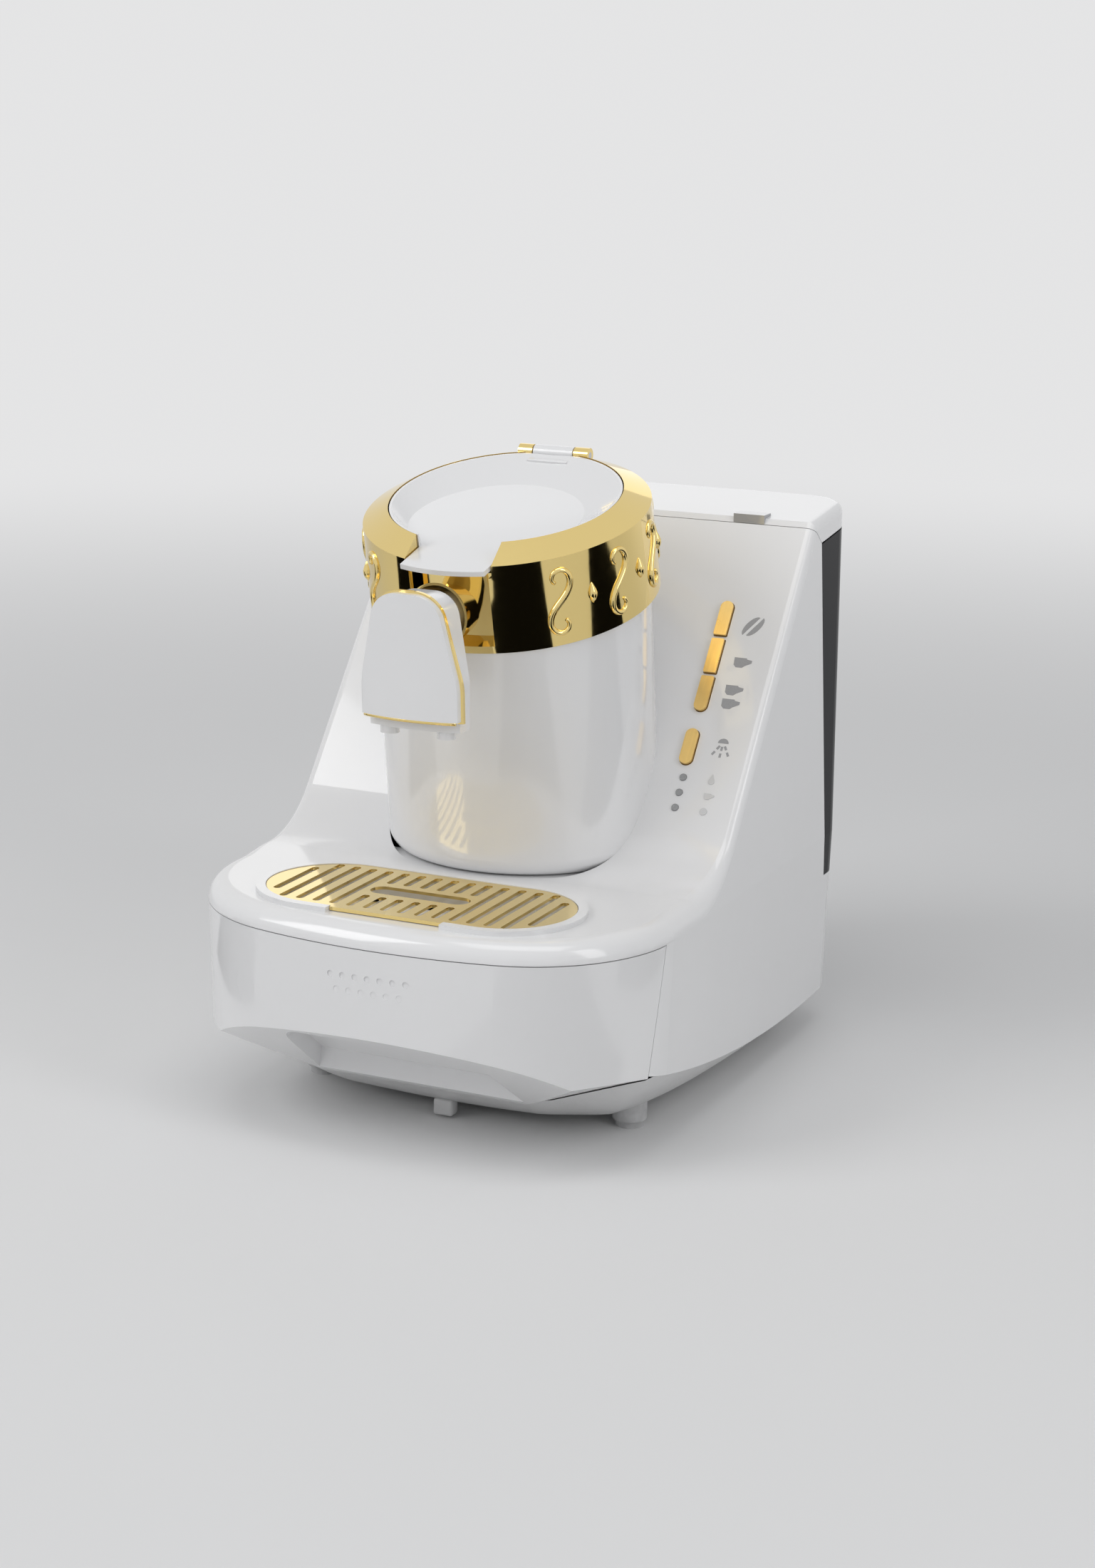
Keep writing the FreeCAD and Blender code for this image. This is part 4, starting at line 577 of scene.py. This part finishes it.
class COFFEE_OT_cover_piping(bpy.types.Operator):
    """Run a gold bead along the foot of the spout's cover"""

    bl_idname = "coffee.cover_piping"
    bl_label = "Cover piping"

    def execute(self, context):
        bead = 0.9 * MM
        inset = 1.2 * bead
        drop = 0.4 * bead
        steps = 24
        corners = [vertex.co for vertex in bpy.data.objects["spout_cover"].data.vertices]
        foot = min(corner.z for corner in corners)
        half = max(corner.x for corner in corners) - bead
        tree = wall_tree("spout_cover")
        points = []
        for step in range(steps + 1):
            start = Vector((half * (2 * step / steps - 1), -OUTSIDE, foot + bead))
            hit = tree.ray_cast(start, Vector((0, 1, 0)))[0]
            if hit is None:
                raise RuntimeError("the piping lies off the cover")
            points.append((hit.x, hit.y + inset, foot - drop))
        shape = bmesh.new()
        add_bead(shape, points, [1.0] * len(points), bead)
        gold = plated_gold("piping_plating", context.scene.coffee_colors.gold)
        new_piece("cover_piping", mesh_from(shape, "cover_piping", smooth=True), gold)
        return {"FINISHED"}


def ellipse(centre, half_width, half_height, start, end, steps=14):
    """Points of an elliptic arc, angles in degrees from the right."""
    angles = [math.radians(start + (end - start) * step / steps) for step in range(steps + 1)]
    return [(centre[0] + half_width * math.cos(a), centre[1] + half_height * math.sin(a)) for a in angles]


def turned(points, degrees, shift):
    """Turn flat points to the left about the origin, then shift them."""
    cosine, sine = math.cos(math.radians(degrees)), math.sin(math.radians(degrees))
    return [(x * cosine - y * sine + shift[0], x * sine + y * cosine + shift[1]) for x, y in points]


def bean_outlines(tall=10.5, wide=5.6, slit=0.7, lean=-34):
    """A bean with a slit along it, leaning right: two half ellipses."""
    right = ellipse((slit, 0), wide / 2 - slit / 2, tall / 2, -90, 90)
    left = ellipse((-slit, 0), wide / 2 - slit / 2, tall / 2, 90, 270)
    return [turned(right, lean, (0.2, 0.4)), turned(left, lean, (-0.2, -0.4))]


def cup_outline(wide=5.8, tall=4.6, shift=(0.0, 0.0)):
    """A small cup that narrows to its foot, with a pointed handle on the right."""
    half = wide / 2
    points = [
        (-half, tall / 2),
        (half * 0.85, tall / 2),
        (half * 0.95, tall * 0.38),
        (half * 1.75, tall * 0.3),
        (half * 1.75, tall * 0.02),
        (half * 0.85, -tall * 0.28),
        (half * 0.45, -tall / 2),
        (-half * 0.5, -tall / 2),
        (-half * 0.9, -tall * 0.25),
    ]
    return [(x + shift[0], y + shift[1]) for x, y in points]


def spray_outlines(head=2.35, fan=30, dash_half=0.5):
    """A domed rinsing head over three rays of two dashes each."""
    across = 0.6
    outlines = [ellipse((across, 2.8), head, 2.2, 0, 180)]
    for lean in (-fan, 0, fan):
        for start, end in ((2.2, 4.1), (5.3, 7.2)):
            dash = [(-dash_half, -start), (dash_half, -start), (dash_half, -end), (-dash_half, -end)]
            outlines.append(turned(dash, lean, (across, 3.5)))
    return outlines


def drop_outline(size):
    """A water drop with its tip up."""
    return [(0.0, 2.3 * size), *ellipse((0, -0.4 * size), 1.15 * size, 1.15 * size, 35, -215)]


def add_slab(shape, tree, outline, side, run, height):
    """Lay a thin slab with this outline, in millimetres, on the sloping panel."""
    sunk = -0.2 * MM
    clear = 0.05
    flat = bmesh.new()
    corners = [flat.verts.new((side + x * MM, run + y * MM, 0.0)) for x, y in outline]
    face = flat.faces.new(corners)
    bmesh.ops.subdivide_edges(flat, edges=flat.edges, cuts=1)
    sides = bmesh.ops.extrude_face_region(flat, geom=[face])
    for vertex in [item for item in sides["geom"] if isinstance(item, bmesh.types.BMVert)]:
        vertex.co.z = 1.0
    for vertex in flat.verts:
        above = SLOPE_ORIGIN + SLOPE_UP * vertex.co.y + SLOPE_OUT * clear
        above.x = vertex.co.x
        hit = tree.ray_cast(above, -SLOPE_OUT)[0]
        if hit is None:
            raise RuntimeError("an icon lies off the panel")
        vertex.co = hit + SLOPE_OUT * (height if vertex.co.z > 0.5 else sunk)
    bmesh.ops.triangulate(flat, faces=flat.faces)
    merge(shape, flat)


def slab_mesh(name, rows, side, height):
    """Lay rows of outlines on the panel, each row at its height up the slope, as one mesh."""
    tree = wall_tree("housing")
    shape = bmesh.new()
    for run, outlines in rows:
        for outline in outlines:
            add_slab(shape, tree, outline, side, run, height)
    return mesh_from(shape, name)


class COFFEE_OT_key_icons(bpy.types.Operator):
    """Print the grey icons beside the keys"""

    bl_idname = "coffee.key_icons"
    bl_label = "Key icons"

    def execute(self, context):
        sizes = context.scene.coffee_icons
        rows = (
            (0.0552, bean_outlines()),
            (0.0379, [cup_outline(shift=(-1.5, 0.0))]),
            (0.0217, [cup_outline(shift=(-2.0, 3.2)), cup_outline(shift=(-2.0, -3.2))]),
            (-0.0023, spray_outlines()),
        )
        ink = screen_print("icon_ink", context.scene.coffee_colors.ink)
        mesh = slab_mesh("key_icons", rows, sizes.side, sizes.print_height)
        new_piece("key_icons", mesh, ink)
        return {"FINISHED"}


class COFFEE_OT_light_marks(bpy.types.Operator):
    """Raise the small marks of pale shell plastic beside the indicator lights, coloured darker as painted
    shade.
    """

    bl_idname = "coffee.light_marks"
    bl_label = "Light marks"

    def execute(self, context):
        sizes = context.scene.coffee_icons
        rows = (
            (-0.0165, [drop_outline(1.2)]),
            (-0.0238, [cup_outline(wide=3.2, tall=2.6)]),
            (-0.0306, [ellipse((0, 0), 1.6, 1.6, 0, 330, 20)]),
        )
        # The marks are the shell's own plastic; their darker tone is painted shade standing in for the
        # shading of their relief.
        shell = glossy_plastic("mark_painted_shade", shade(context.scene.coffee_colors.shell, 0.8))
        mesh = slab_mesh("light_marks", rows, sizes.side, sizes.mark_height)
        new_piece("light_marks", mesh, shell)
        return {"FINISHED"}


def screw_parts(place, radius, height):
    """A pan-head screw with a cross recess, its head down at a place under the machine."""
    crown = 0.72 * radius
    rounding = 0.18 * height
    bar_size = (radius * 1.05, radius * 0.22, height * 0.5)
    bar_seat = 0.42 * height
    sharp = 0.6
    head = bmesh.new()
    bmesh.ops.create_cone(head, cap_ends=True, segments=28, radius1=radius, radius2=crown, depth=height)
    rim = [edge for edge in head.edges if edge.is_boundary or edge.calc_face_angle(0) > sharp]
    bmesh.ops.bevel(head, geom=rim, offset=rounding, segments=2, profile=0.5, affect="EDGES", material=-1)
    # The cross recess is two bars that stand a little past the crown; they are coloured dark later as painted
    # shade inside the recess.
    slot = bmesh.new()
    for angle in (0, 90):
        bar = bmesh.ops.create_cube(slot, size=1.0)["verts"]
        bmesh.ops.scale(slot, vec=bar_size, verts=bar)
        bmesh.ops.rotate(slot, matrix=Matrix.Rotation(math.radians(angle), 3, "Z"), verts=bar)
    bmesh.ops.translate(slot, vec=(0, 0, bar_seat), verts=slot.verts)
    for part in (head, slot):
        bmesh.ops.rotate(part, matrix=Matrix.Rotation(math.pi, 3, "X"), verts=part.verts)
        bmesh.ops.translate(part, vec=place, verts=part.verts)
    return head, slot


def crease_height(depth):
    """Height in metres of the crease round the lower edge of the walls, an arc in side view."""
    return CREASE_CENTRE[1] - math.sqrt(CREASE_RADIUS**2 - (depth - CREASE_CENTRE[0]) ** 2)


def pan_rim(walls, drawer, heading):
    """Where the pan's rim lies at a heading round the sole's centre, just inside the walls."""
    way = Vector((math.cos(heading), math.sin(heading), 0.0))
    first_reach = 0.12
    rim = SOLE_CENTRE + way * first_reach
    # The ray's height follows the crease, which follows the rim's depth, so it takes a few rounds
    for _ in range(3):
        start = SOLE_CENTRE + way * OUTSIDE
        start.z = crease_height(rim.y) + 2 * MM
        hits = [tree.ray_cast(start, -way) for tree in (walls, drawer)]
        hits = [hit[0] for hit in hits if hit[0] is not None]
        rim = min(hits, key=lambda hit: (hit - start).length) - way * RIM_GAP
    if rim.y < PAN_FRONT:
        rim = SOLE_CENTRE + (rim - SOLE_CENTRE) * ((PAN_FRONT - SOLE_CENTRE.y) / (rim.y - SOLE_CENTRE.y))
    # The wall's own lower edge, found from below a little inside the rim, sets the rim's height
    below = Vector((rim.x * 0.99, rim.y + 0.5 * MM, UNDER_FLOOR))
    heights = [tree.ray_cast(below, Vector((0, 0, 1)))[0] for tree in (walls, drawer)]
    heights = [hit.z for hit in heights if hit is not None]
    rim.z = min(heights) if heights else crease_height(rim.y)
    return rim


class COFFEE_OT_pan_shell(bpy.types.Operator):
    """Round the bottom pan from the crease down to its flat sole"""

    bl_idname = "coffee.pan_shell"
    bl_label = "Pan shell"

    def execute(self, context):
        sizes = context.scene.coffee_pan
        trees = wall_tree("housing"), wall_tree("drawer_front")
        rim = [pan_rim(*trees, 2 * math.pi * index / sizes.spokes) for index in range(sizes.spokes)]
        shape = bmesh.new()
        ring = bmesh.ops.create_circle(shape, segments=sizes.spokes, radius=1.0)["verts"]
        for vertex, place in zip(ring, rim):
            vertex.co = place
        edges = list(shape.edges)
        for step in range(1, sizes.rings + 1):
            grown = bmesh.ops.extrude_edge_only(shape, edges=edges)["geom"]
            edges = [item for item in grown if isinstance(item, bmesh.types.BMEdge)]
            inner = [item for item in grown if isinstance(item, bmesh.types.BMVert)]
            for vertex, place in zip(inner, rim):
                reach = (place - SOLE_CENTRE).xy.length
                drop = sizes.width * (reach / FLANK_REACH) ** 2 * step / sizes.rings / reach
                share = 1 - step / sizes.rings
                vertex.co.x = place.x + (SOLE_CENTRE.x - place.x) * drop
                vertex.co.y = place.y + (SOLE_CENTRE.y - place.y) * drop
                vertex.co.z = sizes.sole + (place.z - sizes.sole) * share**2
        bmesh.ops.edgeloop_fill(shape, edges=edges)
        self.add_lug(shape, sizes.sole)
        pan = grained_plastic("pan_plastic", context.scene.coffee_colors.pan, 0.32)
        piece = new_piece("pan_shell", mesh_from(shape, "pan_shell", smooth=True), pan)
        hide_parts("bottom_pan")
        return {"FINISHED"}

    def add_lug(self, shape, sole):
        """Add the small rounded lug under the front of the pan."""
        size = (8.6 * MM, 6 * MM, 7 * MM)
        place = (0.0, -0.066, sole + 2 * MM)
        rounding = 1.2 * MM
        lug = bmesh.ops.create_cube(shape, size=1.0)["verts"]
        edges = list({edge for vertex in lug for edge in vertex.link_edges})
        bmesh.ops.scale(shape, vec=size, verts=lug)
        bmesh.ops.translate(shape, vec=place, verts=lug)
        bmesh.ops.bevel(
            shape, geom=edges, offset=rounding, segments=3, profile=0.5, affect="EDGES", material=-1
        )


class COFFEE_OT_pan_screws(bpy.types.Operator):
    """Set cross-head screws in the bottom pan"""

    bl_idname = "coffee.pan_screws"
    bl_label = "Pan screws"

    def execute(self, context):
        tree = wall_tree("pan_shell")
        radius = 3.2 * MM
        height = 1.6 * MM
        sunk = height * 0.35
        places = ((58, 84), (60, 60), (30, 96))
        heads = bmesh.new()
        slots = bmesh.new()
        for side in (-1, 1):
            for across, depth in places:
                start = Vector((side * across * MM, depth * MM, UNDER_FLOOR))
                hit = tree.ray_cast(start, Vector((0, 0, 1)))[0]
                if hit is None:
                    raise RuntimeError("a screw lies off the pan")
                head, slot = screw_parts(hit - Vector((0, 0, sunk)), radius, height)
                merge(heads, head)
                merge(slots, slot)
        colors = context.scene.coffee_colors
        steel = brushed_metal("screw_steel", colors.steel, 0.3, (1.0, 0.05, 1.0))
        # The recess bars get the dark rubber colour as painted shade; a real screw's recess is its own steel,
        # dark only in shade.
        dark = soft_rubber("screw_recess_painted_shade", colors.rubber)
        new_piece("pan_screws", mesh_from(heads, "pan_screws"), steel)
        new_piece("pan_screw_slots_painted_shade", mesh_from(slots, "pan_screw_slots_painted_shade"), dark)
        return {"FINISHED"}


class COFFEE_OT_finish_frame(bpy.types.Operator):
    """Give every CAD part its finish"""

    bl_idname = "coffee.finish_frame"
    bl_label = "Frame finishes"

    def execute(self, context):
        colors = context.scene.coffee_colors
        finishes = {
            "white_shell": glossy_plastic("white_shell", colors.shell),
            "base_pan": grained_plastic("base_pan", colors.pan),
            "gold_plate": plated_gold("gold_plate", colors.gold),
            "key_gold": satin_gold("key_gold", colors.keys),
            "steel": brushed_metal("steel", colors.steel, 0.24),
            "aluminium": cast_metal("aluminium", shade(colors.steel, 1.05)),
            "smoke_tank": smoke_plastic("smoke_tank", colors.tank),
            "inner_plastic": grained_plastic("inner_plastic", colors.inner),
            "lens": clear_lens("lens", (0.34, 0.345, 0.35)),
            "board": circuit_board("board", (0.01, 0.09, 0.03), (0.08, 0.22, 0.07)),
            "rubber": soft_rubber("rubber", colors.rubber),
            "grey_tab": glossy_plastic("grey_tab", colors.tab, 0.14, 0.7),
        }
        feet = soft_rubber("foot_rubber", shade(colors.shell, 0.55))
        for part in frame["record"]["subparts"]:
            data = frame["nodes"][part["node"]].data
            data.materials.clear()
            is_foot = part["node"].startswith("foot")
            data.materials.append(feet if is_foot else finishes[part["material_slot"]])
        return {"FINISHED"}


def add_lamp(name, place, target, size, power):
    """A rectangular soft box at a place, turned to a target."""
    data = bpy.data.lights.new(name, "AREA")
    data.shape = "RECTANGLE"
    data.size, data.size_y = size
    data.energy = power
    lamp = bpy.data.objects.new(name, data)
    bpy.context.scene.collection.objects.link(lamp)
    lamp.location = place
    lamp.rotation_euler = (Vector(target) - Vector(place)).to_track_quat("-Z", "Y").to_euler()


def add_flag(name, place, angle, size, material):
    """A dark card on the floor that only polished surfaces see, for the dark bands in the gold."""
    shape = bmesh.new()
    bmesh.ops.create_grid(shape, x_segments=4, y_segments=4, size=0.5)
    bmesh.ops.scale(shape, vec=(size[0], size[1], 1.0), verts=shape.verts)
    bmesh.ops.rotate(shape, matrix=Matrix.Rotation(angle, 3, "Z"), verts=shape.verts)
    bmesh.ops.translate(shape, vec=place, verts=shape.verts)
    mesh = bpy.data.meshes.new(name)
    shape.to_mesh(mesh)
    shape.free()
    mesh.materials.append(material)
    card = bpy.data.objects.new(name, mesh)
    bpy.context.scene.collection.objects.link(card)
    for ray in ("visible_camera", "visible_diffuse", "visible_shadow", "visible_transmission"):
        setattr(card, ray, False)


class COFFEE_OT_stage(bpy.types.Operator):
    """Set up the pale floor, soft boxes and camera"""

    bl_idname = "coffee.stage"
    bl_label = "Studio"

    def execute(self, context):
        stage = context.scene.coffee_stage
        self.add_floor()
        self.add_sky(stage.sky)
        self.add_lights(stage.lamp_power)
        self.add_camera(context.scene, stage)
        context.scene.view_settings.view_transform = "Standard"
        return {"FINISHED"}

    def add_floor(self):
        """Lay the round floor under the machine."""
        shape = bmesh.new()
        bmesh.ops.create_circle(shape, cap_ends=True, segments=96, radius=FLOOR_RADIUS)
        mesh = mesh_from(shape, "floor")
        mesh.materials.append(pale_floor("floor_paint", (0.8, 0.8, 0.8), BACKDROP))
        floor = bpy.data.objects.new("floor", mesh)
        bpy.context.scene.collection.objects.link(floor)

    def add_sky(self, strength):
        """Light the machine evenly and show the backdrop to camera, metal and glass."""
        world = bpy.data.worlds.new("studio")
        bpy.context.scene.world = world
        world.use_nodes = True
        nodes, links = world.node_tree.nodes, world.node_tree.links
        sky = nodes["Background"]
        sky.inputs["Color"].default_value = (0.97, 0.98, 1.0, 1.0)
        sky.inputs["Strength"].default_value = strength
        backdrop = nodes.new("ShaderNodeBackground")
        backdrop.inputs["Color"].default_value = (*BACKDROP, 1.0)
        choice = nodes.new("ShaderNodeMixShader")
        links.new(backdrop_rays(world.node_tree), choice.inputs[0])
        links.new(sky.outputs[0], choice.inputs[1])
        links.new(backdrop.outputs[0], choice.inputs[2])
        links.new(choice.outputs[0], nodes["World Output"].inputs["Surface"])

    def add_lights(self, power):
        """Hang the soft boxes and lay the dark cards."""
        for name, place, size, share in LAMPS:
            add_lamp(name, place, LAMP_TARGET, size, power * share)
        card = matte_card("flag_card", (0.006, 0.006, 0.006))
        for name, heading, reach, size in FLAGS:
            angle = math.radians(heading)
            place = Vector((math.sin(angle) * reach, -math.cos(angle) * reach, MM))
            add_flag(name, place, angle, size, card)

    def add_camera(self, scene, stage):
        """Stand the camera where the photograph was taken."""
        data = bpy.data.cameras.new("camera")
        data.sensor_width = 36
        data.lens = stage.lens
        data.shift_y = stage.drop
        data.dof.use_dof = False
        camera = bpy.data.objects.new("camera", data)
        scene.collection.objects.link(camera)
        turn = Matrix((CAMERA_RIGHT, CAMERA_UP, CAMERA_RIGHT.cross(CAMERA_UP))).transposed()
        camera.matrix_world = Matrix.Translation(stage.camera) @ turn.to_4x4()
        scene.camera = camera


class COFFEE_PT_panel(bpy.types.Panel):
    """Lists the pieces that dress the coffee maker"""

    bl_idname = "COFFEE_PT_panel"
    bl_label = "Coffee Maker"
    bl_space_type = "VIEW_3D"
    bl_region_type = "UI"
    bl_category = "Coffee Maker"

    def draw(self, context):
        for name in GROUPS:
            group = getattr(context.scene, name)
            for entry in group.bl_rna.properties.keys():
                if entry not in {"name", "rna_type"}:
                    self.layout.prop(group, entry)
        for operator in OPERATORS:
            self.layout.operator(operator.bl_idname)


OPERATORS = (
    COFFEE_OT_finish_frame,
    COFFEE_OT_ring_scrolls,
    COFFEE_OT_cover_piping,
    COFFEE_OT_key_icons,
    COFFEE_OT_light_marks,
    COFFEE_OT_pan_shell,
    COFFEE_OT_pan_screws,
    COFFEE_OT_stage,
)
GROUPS = {
    "coffee_colors": CoffeeColors,
    "coffee_scrolls": CoffeeScrolls,
    "coffee_icons": CoffeeIcons,
    "coffee_pan": CoffeePan,
    "coffee_stage": CoffeeStage,
}


def register():
    """Register the add-on's classes and its settings on the scene."""
    for made in (*GROUPS.values(), *OPERATORS, COFFEE_PT_panel):
        bpy.utils.register_class(made)
    for name, group in GROUPS.items():
        setattr(bpy.types.Scene, name, bpy.props.PointerProperty(type=group))


def unregister():
    """Take the add-on's settings and classes away again."""
    for name in GROUPS:
        delattr(bpy.types.Scene, name)
    for made in reversed((*GROUPS.values(), *OPERATORS, COFFEE_PT_panel)):
        bpy.utils.unregister_class(made)


def main():
    """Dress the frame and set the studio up."""
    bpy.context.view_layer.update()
    register()
    bpy.ops.coffee.finish_frame()
    bpy.ops.coffee.ring_scrolls()
    bpy.ops.coffee.cover_piping()
    bpy.ops.coffee.key_icons()
    bpy.ops.coffee.light_marks()
    bpy.ops.coffee.pan_shell()
    bpy.ops.coffee.pan_screws()
    bpy.ops.coffee.stage()


if __name__ == "__main__":
    main()
